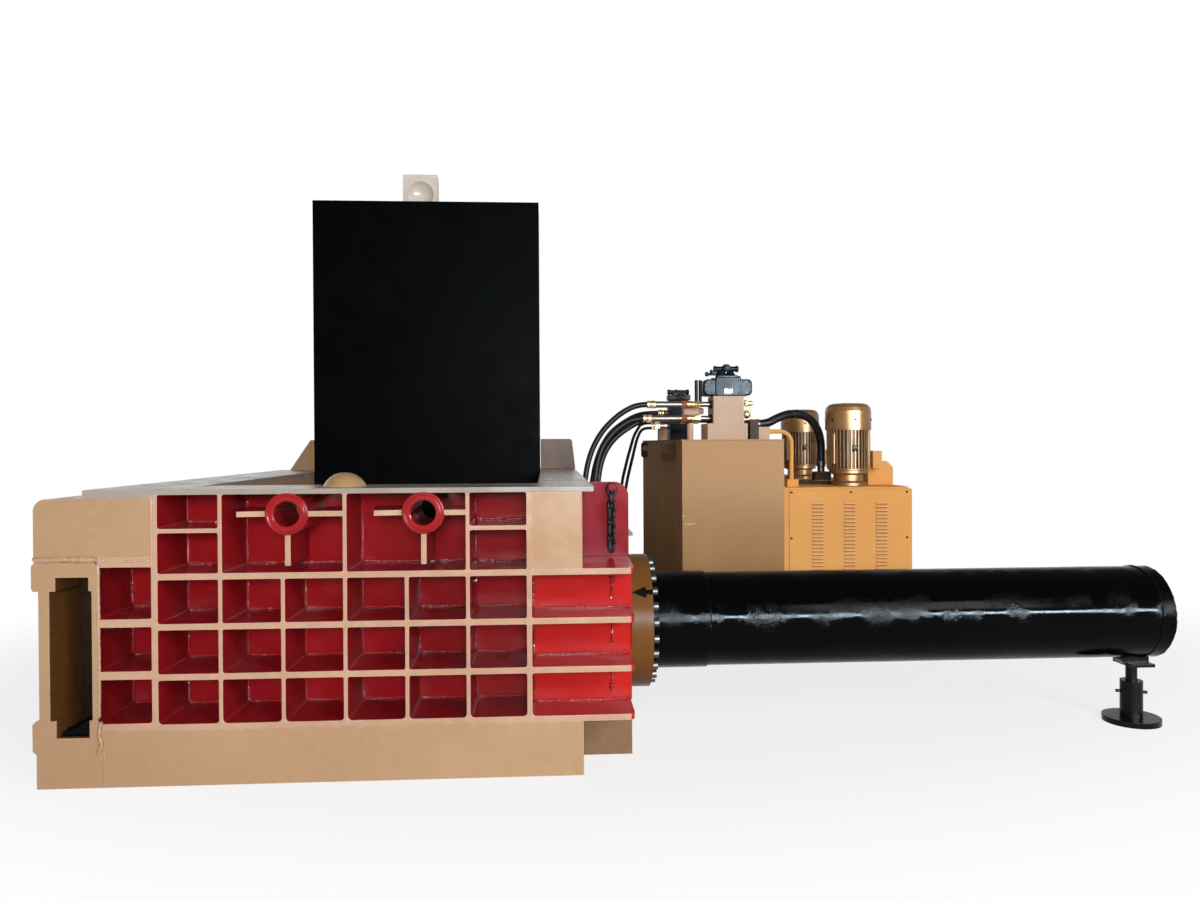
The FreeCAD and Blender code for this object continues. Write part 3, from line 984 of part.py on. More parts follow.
node("control_valves", fuse(valveBody, valveEnds, pilotBody, pilotCoils, pilotKnob),
     fuse(rearValve, rearCoil))

# suction port, return block, breather and the two pressure switches
portX = (f"({manifoldRight} + plinthMargin / 2 + 14)",
         f"({manifoldRight} + plinthMargin / 2 + 64)")
suctionPort = box(portX, ("manifoldFront - 25", "manifoldFront + 145"),
                  (COVER_TOP, f"{MANIFOLD_LOW} + 22"))
returnLeft = f"({portX[1]} + 1)"
returnPort = box((returnLeft, f"{returnLeft} + returnBlock"),
                 ("manifoldFront - 30", "manifoldFront + 60"),
                 (COVER_TOP, f"{COVER_TOP} + returnHeight"))
breather = rod("z", "rearManifoldLeft + 15", f"{rearFront} + 515", COVER_TOP, 38, 68)
riser = rod("z", "rearManifoldLeft + 27", valveMiddle, COVER_TOP, 19, 96)
switches = [rod("z", x, "manifoldFront + 65", f"{MANIFOLD_LOW} + 118 + hoseRadius * 0.8", 10, 134)
            for x in ("manifoldLeft - 94", "manifoldLeft - 70")]
node("tank_fittings", suctionPort, returnPort, breather, riser, *switches)

pipeAxisY = number("manifoldFront + 15")
pipeTop = number(f"{COVER_TOP} + returnHeight - returnPipe - 15")
pipeStart = number(f"{returnLeft} + returnBlock")
pipeDown = pipeStart + 145
bendRadius = number("returnBend")
pipeFoot = number(f"{DECK_TOP} + 45")
pipePath = Part.Wire([
    Part.LineSegment(Vector(pipeStart, pipeAxisY, pipeTop),
                     Vector(pipeDown - bendRadius, pipeAxisY, pipeTop)).toShape(),
    Part.Arc(Vector(pipeDown - bendRadius, pipeAxisY, pipeTop),
             Vector(pipeDown - bendRadius + bendRadius * math.sin(math.pi / 4), pipeAxisY,
                    pipeTop - bendRadius + bendRadius * math.cos(math.pi / 4)),
             Vector(pipeDown, pipeAxisY, pipeTop - bendRadius)).toShape(),
    Part.LineSegment(Vector(pipeDown, pipeAxisY, pipeTop - bendRadius),
                     Vector(pipeDown, pipeAxisY, pipeFoot)).toShape()])
pipeCircle = Part.Circle(Vector(pipeStart, pipeAxisY, pipeTop), Vector(1, 0, 0),
                         number("returnPipe"))
pipe = doc.addObject("Part::Feature", "ReturnPipe")
pipe.Shape = pipePath.makePipeShell([Part.Wire([pipeCircle.toShape()])], True, False)
pipe.Placement = FreeCAD.Placement(Vector(-number(MIDDLE_X), -number(MIDDLE_Y), 0), Rotation())
pipeFlange = box((f"{pipeDown} - 34", f"{pipeDown} + 34"),
                 (f"{pipeAxisY} - 34", f"{pipeAxisY} + 34"), (DECK_TOP, pipeFoot))
node("return_pipe", pipe, pipeFlange)

# ---------------------------------------------------------------- hoses
# the routes stay as they lie; the first four carry pressure, the thin two the pilot oil
ROUTES = {
    "upper": [(2500, 2050, 1490), (2440, 2050, 1490), (2356, 2050, 1453), (2278, 2050, 1392),
              (2214, 2050, 1322), (2165, 2050, 1236), (2134, 2050, 1148), (2116, 2050, 1052),
              (2108, 2050, 956), (2112, 2050, 870), (2112, 2050, 800)],
    "lower": [(2475, 2050, 1405), (2412, 2050, 1405), (2332, 2050, 1360), (2268, 2050, 1302),
              (2218, 2050, 1230), (2190, 2050, 1142), (2176, 2050, 1046), (2168, 2050, 956),
              (2166, 2050, 876), (2166, 2050, 805)],
    "rear": [(2667, 2850, 1464), (2590, 2850, 1464), (2500, 2772, 1447), (2400, 2625, 1396),
             (2305, 2490, 1330), (2235, 2345, 1238), (2190, 2235, 1136), (2164, 2160, 1020),
             (2146, 2118, 920), (2140, 2104, 850), (2140, 2104, 788)],
    "behind": [(2532, 2120, 1395), (2466, 2120, 1395), (2384, 2120, 1350), (2312, 2120, 1298),
               (2254, 2120, 1230), (2218, 2120, 1146), (2200, 2120, 1054), (2192, 2119, 962),
               (2194, 2118, 880), (2194, 2118, 806)],
    "pilot": [(2618, 2850, 1395), (2572, 2850, 1395), (2534, 2815, 1382), (2508, 2762, 1352),
              (2474, 2684, 1306), (2448, 2598, 1244), (2420, 2512, 1176), (2394, 2430, 1104),
              (2366, 2350, 1022), (2350, 2276, 936), (2340, 2212, 872), (2338, 2180, 812),
              (2338, 2180, 754)],
    "pilot2": [(2618, 2850, 1360), (2574, 2850, 1360), (2540, 2822, 1346), (2516, 2770, 1314),
               (2492, 2694, 1270), (2470, 2610, 1214), (2446, 2522, 1150), (2420, 2440, 1080),
               (2394, 2360, 1000), (2376, 2288, 920), (2368, 2222, 862), (2366, 2192, 806),
               (2366, 2192, 752)],
}
node("pressure_hoses", *[freeRun(ROUTES[name], number("hoseRadius"))
                         for name in ("upper", "lower", "rear", "behind")],
     *[freeRun(ROUTES[name], number("pilotHoseRadius")) for name in ("pilot", "pilot2")])
suctionRoute = [(3180, 2090, 1370), (3240, 2090, 1370), (3308, 2106, 1406), (3384, 2133, 1432),
                (3470, 2166, 1434), (3552, 2206, 1404), (3606, 2238, 1338), (3632, 2256, 1258),
                (3633, 2260, 1178), (3633, 2260, 1112)]
node("suction_hose", freeRun(suctionRoute, number("suctionRadius")))

# fittings: a stepped bar from each port to the hose end
nuts = []
for name, portFace in (("upper", "manifoldLeft"), ("lower", "manifoldLeft"),
                       ("behind", "manifoldLeft"), ("rear", "rearManifoldLeft"),
                       ("pilot", "rearManifoldLeft"), ("pilot2", "rearManifoldLeft")):
    endX, endY, endZ = ROUTES[name][0]
    slim = "pilotHoseRadius" if name.startswith("pilot") else "hoseRadius"
    nuts.append(fuse(rod("x", endX, endY, endZ, f"{slim} * 0.8", f"{portFace} - {endX}"),
                     rod("x", endX, endY, endZ, f"{slim} * 1.25", "2 * hoseNut"),
                     rod("x", f"{portFace} - hoseNut", endY, endZ, f"{slim} * 1.25", "hoseNut")))
    footX, footY, footZ = ROUTES[name][-1]
    nuts.append(rod("z", footX, footY, "portShelf + portShelfThick + portBlock / 2",
                    f"{slim} * 1.15",
                    f"{footZ} - portShelf - portShelfThick - portBlock / 2"))
startX, startY, startZ = suctionRoute[0]
endX, endY, endZ = suctionRoute[-1]
valveTop = f"({DECK_TOP} + suctionValveRise)"
suctionSide = f"{endX} + suctionReach"
suctionFront = f"{endY} - suctionHalf"
nuts.append(rod("x", portX[1], startY, startZ, "suctionRadius * 0.9", "suctionStub"))
suctionFoot = rod("z", endX, endY, valveTop, "suctionRadius * 0.85", "suctionFootRise")
suctionValve = box((f"{endX} - suctionValveLeft", suctionSide),
                   (suctionFront, f"{endY} + suctionValveBack"), (DECK_TOP, valveTop))
suctionPlate = box((f"{endX} - suctionPlateLeft", suctionSide),
                   (suctionFront, f"{endY} + suctionPlateBack"),
                   (DECK_TOP, f"{DECK_TOP} + suctionPlateRise"))
nuts.append(fuse(suctionFoot, suctionValve, suctionPlate))
node("hose_fittings", *nuts)

bracketBack = "(pedestalBack + ribDepth / 2 + 3 * sideRibPitch)"
shelfLevels = ("portShelf", "portShelf + portShelfThick")
wallShelf = box((f"{CHAMBER_RIGHT} + sideThick", 2230), (f"{bracketBack} - 170", bracketBack),
                shelfLevels)
farShelf = box((f"{CHAMBER_RIGHT} + sideThick + sideRibReach", 2395),
               (f"{bracketBack} - 170", f"{bracketBack} + 80"), shelfLevels)
portLevels = ("portShelf + portShelfThick", "portShelf + portShelfThick + portBlock / 2")
mainPorts = box((2080, 2225), (2020, 2150), portLevels)
pilotPorts = box((2315, 2385), (2160, 2212), portLevels)
node("hose_bracket", fuse(wallShelf, farShelf, mainPorts, pilotPorts))

doc.recompute()

failed = [item.Label for item in doc.Objects if "Invalid" in item.State or "Error" in item.State]
for piece in NODES:
    if piece.Shape.isNull() or not piece.Shape.isValid():
        failed.append(piece.Label)
if failed:
    raise SystemExit("failed: " + ", ".join(failed))
for piece in NODES:
    piece.Shape.exportStep(f"parts/{piece.Label}.step")
    print(f"{piece.Label:24s} solids {len(piece.Shape.Solids):3d} "
          f"volume {piece.Shape.Volume / 1e9:.5f} m3")
print("nodes", len(NODES))
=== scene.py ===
import math
import bmesh
import bpy
import numpy as np
from mathutils import Matrix, Vector


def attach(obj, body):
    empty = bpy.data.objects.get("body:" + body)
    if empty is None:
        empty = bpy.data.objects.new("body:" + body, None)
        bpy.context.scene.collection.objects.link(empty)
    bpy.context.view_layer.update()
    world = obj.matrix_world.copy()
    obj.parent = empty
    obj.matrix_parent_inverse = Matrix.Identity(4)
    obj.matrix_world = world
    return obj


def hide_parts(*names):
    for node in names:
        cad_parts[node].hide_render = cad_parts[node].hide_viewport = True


# Looks of a hydraulic scrap baler and its power unit, in metres.
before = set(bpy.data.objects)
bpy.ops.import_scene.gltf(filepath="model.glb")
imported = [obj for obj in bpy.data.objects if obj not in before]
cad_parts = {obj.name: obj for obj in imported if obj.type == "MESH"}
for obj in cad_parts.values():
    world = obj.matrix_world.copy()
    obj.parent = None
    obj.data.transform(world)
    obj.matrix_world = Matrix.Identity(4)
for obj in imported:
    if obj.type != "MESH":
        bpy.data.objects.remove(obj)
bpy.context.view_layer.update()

# the ground point under the machine's middle, in mm from its left end and its front face
middleX, middleY = 2304.5, 2115.0


def spot(x, y, z):
    # a place measured in mm from the left end, the front face and the ground
    return ((x - middleX) / 1000, (y - middleY) / 1000, z / 1000)


def spots(points):
    # the same for an array of places
    return (np.array(points, float) - np.array([middleX, middleY, 0])) / 1000


# camera
viewpoint = {"place": (-0.4205, -5.515, 1.260), "turn": -3.379, "tilt": -0.471, "roll": 0.295, "lens": 27.0}
cameraData = bpy.data.cameras.new("camera")
cameraData.lens = viewpoint["lens"]
cameraData.sensor_width = 36
cameraData.clip_end = 200
camera = bpy.data.objects.new("camera", cameraData)
camera.matrix_world = (Matrix.Translation(viewpoint["place"])
                       @ Matrix.Rotation(math.radians(viewpoint["turn"]), 4, "Z")
                       @ Matrix.Rotation(math.radians(viewpoint["tilt"]), 4, "X")
                       @ Matrix.Rotation(math.radians(viewpoint["roll"]), 4, "Y")
                       @ Matrix.Rotation(math.radians(90), 4, "X"))
bpy.context.scene.collection.objects.link(camera)
bpy.context.scene.camera = camera
print("camera placed")


# shader helpers
def addNode(tree, kind, inputs=None, **settings):
    # a shader node whose inputs are numbers, or sockets to link from
    made = tree.nodes.new(kind)
    for name, value in settings.items():
        setattr(made, name, value)
    for name, value in (inputs or {}).items():
        if isinstance(value, bpy.types.NodeSocket):
            tree.links.new(value, made.inputs[name])
        else:
            made.inputs[name].default_value = value
    return made


def calc(tree, operation, first, second=0.5):
    # one step of arithmetic
    return addNode(tree, "ShaderNodeMath", {0: first, 1: second}, operation=operation).outputs[0]


def times(tree, first, *others):
    # the product of all values
    for other in others:
        first = calc(tree, "MULTIPLY", first, other)
    return first


def vectorCalc(tree, operation, first, second=(0, 0, 0), out="Vector"):
    return addNode(tree, "ShaderNodeVectorMath", {0: first, 1: second}, operation=operation).outputs[out]


def split(tree, vector):
    return addNode(tree, "ShaderNodeSeparateXYZ", {0: vector}).outputs


def blendColour(tree, share, first, second):
    # the first colour where the share is nothing, the second where it is one
    return addNode(tree, "ShaderNodeMix", {0: share, 6: first, 7: second}, data_type="RGBA").outputs[2]


def band(tree, value, low, high, start=0.0, end=1.0):
    # value carried smoothly from start to end between low and high
    limits = {0: value, 1: low, 2: high, 3: start, 4: end}
    return addNode(tree, "ShaderNodeMapRange", limits, interpolation_type="SMOOTHSTEP").outputs[0]


def noise(tree, place, scale, detail=3.0, rough=0.55, stretch=None):
    # cloudy noise from nothing to one, drawn out along an axis where its stretch is small
    if stretch:
        place = addNode(tree, "ShaderNodeMapping", {"Vector": place, "Scale": stretch}).outputs[0]
    facts = {"Vector": place, "Scale": scale, "Detail": detail, "Roughness": rough}
    return addNode(tree, "ShaderNodeTexNoise", facts).outputs["Fac"]


def bump(tree, height, strength, distance, normal=None):
    # the normal of a face raised by a height, over another normal where one is given
    facts = {"Strength": strength, "Distance": distance, "Height": height}
    if normal is not None:
        facts["Normal"] = normal
    return addNode(tree, "ShaderNodeBump", facts).outputs[0]


def insideBox(tree, place, low, high):
    # one inside a box given by two corners in mm from the left end, and nothing outside it
    low, high = np.array(spot(*low)), np.array(spot(*high))
    moved = vectorCalc(tree, "SUBTRACT", place, tuple((low + high) / 2))
    sized = vectorCalc(tree, "DIVIDE", moved, tuple((high - low) / 2))
    x, y, z = split(tree, vectorCalc(tree, "ABSOLUTE", sized))
    return calc(tree, "LESS_THAN", calc(tree, "MAXIMUM", calc(tree, "MAXIMUM", x, y), z), 1.0)


def newMaterial(name):
    # a new material with its tree, its shader and the place of each point on the machine
    material = bpy.data.materials.new(name)
    material.use_nodes = True
    tree = material.node_tree
    shader = tree.nodes["Principled BSDF"]
    place = addNode(tree, "ShaderNodeTexCoord").outputs["Object"]
    return material, tree, shader, place


def roundedEdge(tree, radius):
    # the normal that softened edges would have
    return addNode(tree, "ShaderNodeBevel", {"Radius": radius}, samples=4).outputs[0]


def edgeLean(tree, soft):
    # how far a softened edge leans from its flat face: one less the cosine between the two
    flat = addNode(tree, "ShaderNodeNewGeometry").outputs["Normal"]
    return calc(tree, "SUBTRACT", 1.0, vectorCalc(tree, "DOT_PRODUCT", soft, flat, "Value"))


# painted steel
def solid(colour, share=1.0):
    # a colour with its opacity, darkened to a share of itself
    return (*[part * share for part in colour], 1)


# what a coat has where its own entry doesn't say otherwise
plainCoat = {"mottle": 0.35, "dirt": 0.2, "edge": 0.004, "edgeWearAndSheenShare": 0.6, "ior": 1.45, "metallic": 0.0,
             "shine": 0.5, "coat": 0.0, "coatRough": 0.12, "peel": 0.12, "peelScale": 260, "wave": 0.2}


def paintedSteel(name, look):
    # sprayed enamel on plate: broad and fine tone, dust, chipped edges with a painted highlight on the tan,
    # orange peel
    look = {**plainCoat, **look}
    _, tree, shader, place = newMaterial(name)
    broad = noise(tree, place, 1.7, 3)
    fine = noise(tree, place, 19, 4, 0.6)
    soft = roundedEdge(tree, look["edge"])
    lean = edgeLean(tree, soft)
    colour = coatColour(tree, place, look, broad, fine, lean)
    shader.inputs["Specular IOR Level"].default_value = look["shine"]
    if "front" in look:
        front = frontShare(tree, place, look["front"])
        colour = blendColour(tree, front, colour, frontColour(tree, broad, fine, lean))
        shine = calc(tree, "ADD", times(tree, front, 0.35), look["shine"])
        tree.links.new(shine, shader.inputs["Specular IOR Level"])
    tree.links.new(colour, shader.inputs["Base Color"])
    rough = band(tree, noise(tree, place, 7, 4, 0.6), 0.25, 0.75, look["rough"] - 0.08, look["rough"] + 0.1)
    tree.links.new(rough, shader.inputs["Roughness"])
    shader.inputs["IOR"].default_value = look["ior"]
    shader.inputs["Metallic"].default_value = look["metallic"]
    shader.inputs["Coat Weight"].default_value = look["coat"]
    shader.inputs["Coat Roughness"].default_value = look["coatRough"]
    peel = bump(tree, noise(tree, place, look["peelScale"], 2), look["peel"], 0.002, soft)
    if "patchy" in look:
        # the coat is smooth in places and coarse in others
        ragged = band(tree, noise(tree, place, 7, 5, 0.7), 0.42, 0.62, look["peel"], look["patchy"])
        tree.links.new(ragged, peel.node.inputs["Strength"])
    wave = bump(tree, noise(tree, place, 5, 2), look["wave"], 0.01, peel)
    tree.links.new(wave, shader.inputs["Normal"])
    tree.links.new(wave, shader.inputs["Coat Normal"])


def coatColour(tree, place, look, broad, fine, lean):
    # the coat's tones, dust, and chips whose pale edge tone is also a painted highlight, and then what only
    # some coats have
    streak = noise(tree, place, 5, 4, 0.6, (1.0, 1.0, 0.22))
    colour = blendColour(tree, band(tree, broad, 0.3, 0.7), solid(look["deep"]), solid(look["colour"]))
    colour = blendColour(tree, band(tree, fine, 0.35, 0.75, 0, look["mottle"]), colour, solid(look["pale"]))
    colour = blendColour(tree, band(tree, streak, 0.55, 0.78, 0, look["dirt"]), colour, solid(look["soil"]))
    # chips along the edges: worn paint, and on the tan a painted highlight as well
    chipsAndSheen = calc(tree, "ADD", lean, times(tree, noise(tree, place, 46, 5, 0.7), 0.115))
    colour = blendColour(tree, band(tree, chipsAndSheen, 0.11, 0.2, 0, look["edgeWearAndSheenShare"]), colour, solid(look["edgeWearAndSheen"]))
    if "paintedLightFade" in look:
        # painted light and shade: the coat goes from one tone to another along an axis, upwards where none is
        # given
        low, high, foot, head, *axis = look["paintedLightFade"]
        height = calc(tree, "ADD", split(tree, place)[axis[0] if axis else 2], times(tree, broad, 0.3))
        tone = blendColour(tree, band(tree, height, low, high), solid(foot), solid(head))
        colour = blendColour(tree, 0.65, colour, tone)
    if "louvres" in look:
        colour = louvreColour(tree, place, colour, look["louvres"])
    if "fins" in look:
        colour = finColour(tree, place, colour, look["fins"])
    for low, high, patch in look.get("patches", ()):
        tone = blendColour(tree, band(tree, streak, 0.35, 0.7, 0, 0.6), solid(patch), solid(patch, 0.45))
        colour = blendColour(tree, insideBox(tree, place, low, high), colour, tone)
    return colour


def frontShare(tree, place, face):
    # one on the edges that face the front, which are sprayed in the frame's own colour
    depth = split(tree, place)[1]
    facing = split(tree, addNode(tree, "ShaderNodeNewGeometry").outputs["Normal"])[1]
    ragged = calc(tree, "ADD", depth, times(tree, noise(tree, place, 90, 2), 0.006))
    edge = band(tree, ragged, face + 0.007, face + 0.0035)
    flat = times(tree, band(tree, facing, -0.8, -0.9), calc(tree, "LESS_THAN", depth, face + 0.03))
    return calc(tree, "MAXIMUM", edge, flat)


def frontColour(tree, broad, fine, lean):
    # the frame's tan, paler where it is rubbed, with a painted highlight along its edges
    tan = blendColour(tree, band(tree, broad, 0.3, 0.7), (0.50, 0.290, 0.180, 1), (0.57, 0.345, 0.225, 1))
    tan = blendColour(tree, band(tree, fine, 0.4, 0.75, 0, 0.35), tan, (0.66, 0.43, 0.31, 1))
    # painted highlight: the edges go over to a pale pink
    return blendColour(tree, band(tree, lean, 0.03, 0.16, 0, 0.8), tan, (0.84, 0.62, 0.50, 1))


def louvreColour(tree, place, colour, facts):
    # each louvre has a painted highlight on the lip at its foot and painted shade below it
    x, _, height = split(tree, place)
    below = calc(tree, "SUBTRACT", height, facts["top"] / 1000)
    phase = calc(tree, "FRACT", calc(tree, "DIVIDE", below, facts["pitch"] / 1000))
    litLip = band(tree, phase, 0.20, 0.12)
    shade = band(tree, phase, 0.62, 0.72)
    lowest = (facts["top"] - facts["pitch"] * (facts["count"] - 0.6)) / 1000
    highest = (facts["top"] + facts["rise"] + 2) / 1000
    level = times(tree, calc(tree, "GREATER_THAN", height, lowest), calc(tree, "LESS_THAN", height, highest))
    for middle in facts["columns"]:
        away = calc(tree, "ABSOLUTE", calc(tree, "SUBTRACT", x, spot(middle, 0, 0)[0]))
        here = times(tree, level, calc(tree, "LESS_THAN", away, facts["half"] / 1000))
        colour = blendColour(tree, times(tree, here, shade, 0.75), colour, (0.30, 0.13, 0.035, 1))
        colour = blendColour(tree, times(tree, here, litLip, 0.8), colour, (0.98, 0.74, 0.46, 1))
    return colour


def finColour(tree, place, colour, facts):
    # painted shade darkens the gaps between the fins, measured from each motor's upright axis
    reach = []
    for x, y in facts["centres"]:
        level = vectorCalc(tree, "MULTIPLY", vectorCalc(tree, "SUBTRACT", place, spot(x, y, 0)), (1, 1, 0))
        reach.append(vectorCalc(tree, "LENGTH", level, out="Value"))
    height = split(tree, place)[2]
    finned = times(tree, calc(tree, "GREATER_THAN", height, facts["low"] / 1000),
                   calc(tree, "LESS_THAN", height, facts["high"] / 1000))
    finShade = band(tree, calc(tree, "MINIMUM", *reach), facts["root"] / 1000, facts["tip"] / 1000, 1.0, 0.0)
    return blendColour(tree, times(tree, finShade, finned), colour, (0.06, 0.027, 0.010, 1))


frontFace = -middleY / 1000
greaseBrown = (0.16, 0.064, 0.016)
# the tan's pale edge tone is worn paint and a painted highlight along the edges
tanLook = {"colour": (0.49, 0.305, 0.174), "deep": (0.455, 0.278, 0.153), "pale": (0.54, 0.350, 0.215),
           "soil": (0.28, 0.165, 0.095), "edgeWearAndSheen": (0.82, 0.62, 0.49), "rough": 0.24, "dirt": 0.03,
           "edgeWearAndSheenShare": 0.7, "shine": 0.25, "mottle": 0.2, "peel": 0.05, "wave": 0.05}
redLook = {"colour": (0.35, 0.009, 0.013), "deep": (0.25, 0.006, 0.010), "pale": (0.42, 0.016, 0.018),
           "soil": (0.060, 0.003, 0.005), "edgeWearAndSheen": (0.42, 0.04, 0.045), "rough": 0.16, "dirt": 0.2,
           "edgeWearAndSheenShare": 0.3, "mottle": 0.2, "shine": 0.08, "wave": 0.1}
unitLook = {"colour": (0.47, 0.270, 0.125), "deep": (0.43, 0.240, 0.108), "pale": (0.53, 0.315, 0.155),
            "soil": (0.24, 0.125, 0.05), "edgeWearAndSheen": (0.74, 0.50, 0.30), "rough": 0.5, "dirt": 0.08,
            "edgeWearAndSheenShare": 0.6, "shine": 0.0, "mottle": 0.2, "peel": 0.05}
cabinetLook = {**unitLook, "colour": (0.85, 0.425, 0.137), "deep": (0.80, 0.385, 0.117),
               "pale": (0.88, 0.47, 0.17)}
valveLook = {"colour": (0.008, 0.010, 0.013), "deep": (0.005, 0.006, 0.008), "pale": (0.016, 0.020, 0.026),
             "soil": (0.012, 0.010, 0.008), "edgeWearAndSheen": (0.07, 0.08, 0.09), "rough": 0.34, "edge": 0.0015,
             "edgeWearAndSheenShare": 0.35, "shine": 0.12}

# the tank's pale chips, the cabinet's louvres and panel screws, and the motors' fins, in mm
tankChips = [(2696, 774, 6), (2712, 772, 8), (2728, 772, 7), (2745, 775, 9), (2682, 822, 9), (2682, 1060, 5)]
chipPatches = [((x, 1860, z), (x + width, 1872, z + 7), (0.85, 0.72, 0.58)) for x, z, width in tankChips]
louvres = {"columns": [3490, 3683, 3879], "half": 34, "top": 888, "pitch": 21.6, "count": 26, "rise": 9}
panelScrews = [(x, z) for x in (3332, 4032) for z in (957, 685, 413, 141)] + [(3690, 957)]
screwPatches = [((x - 9, 1850, z - 9), (x + 9, 1863.9, z + 9), (0.02, 0.014, 0.01)) for x, z in panelScrews]
motorFins = {"centres": [(3757, 2105), (3757, 3175)], "root": 116, "tip": 132, "low": 1096, "high": 1328}

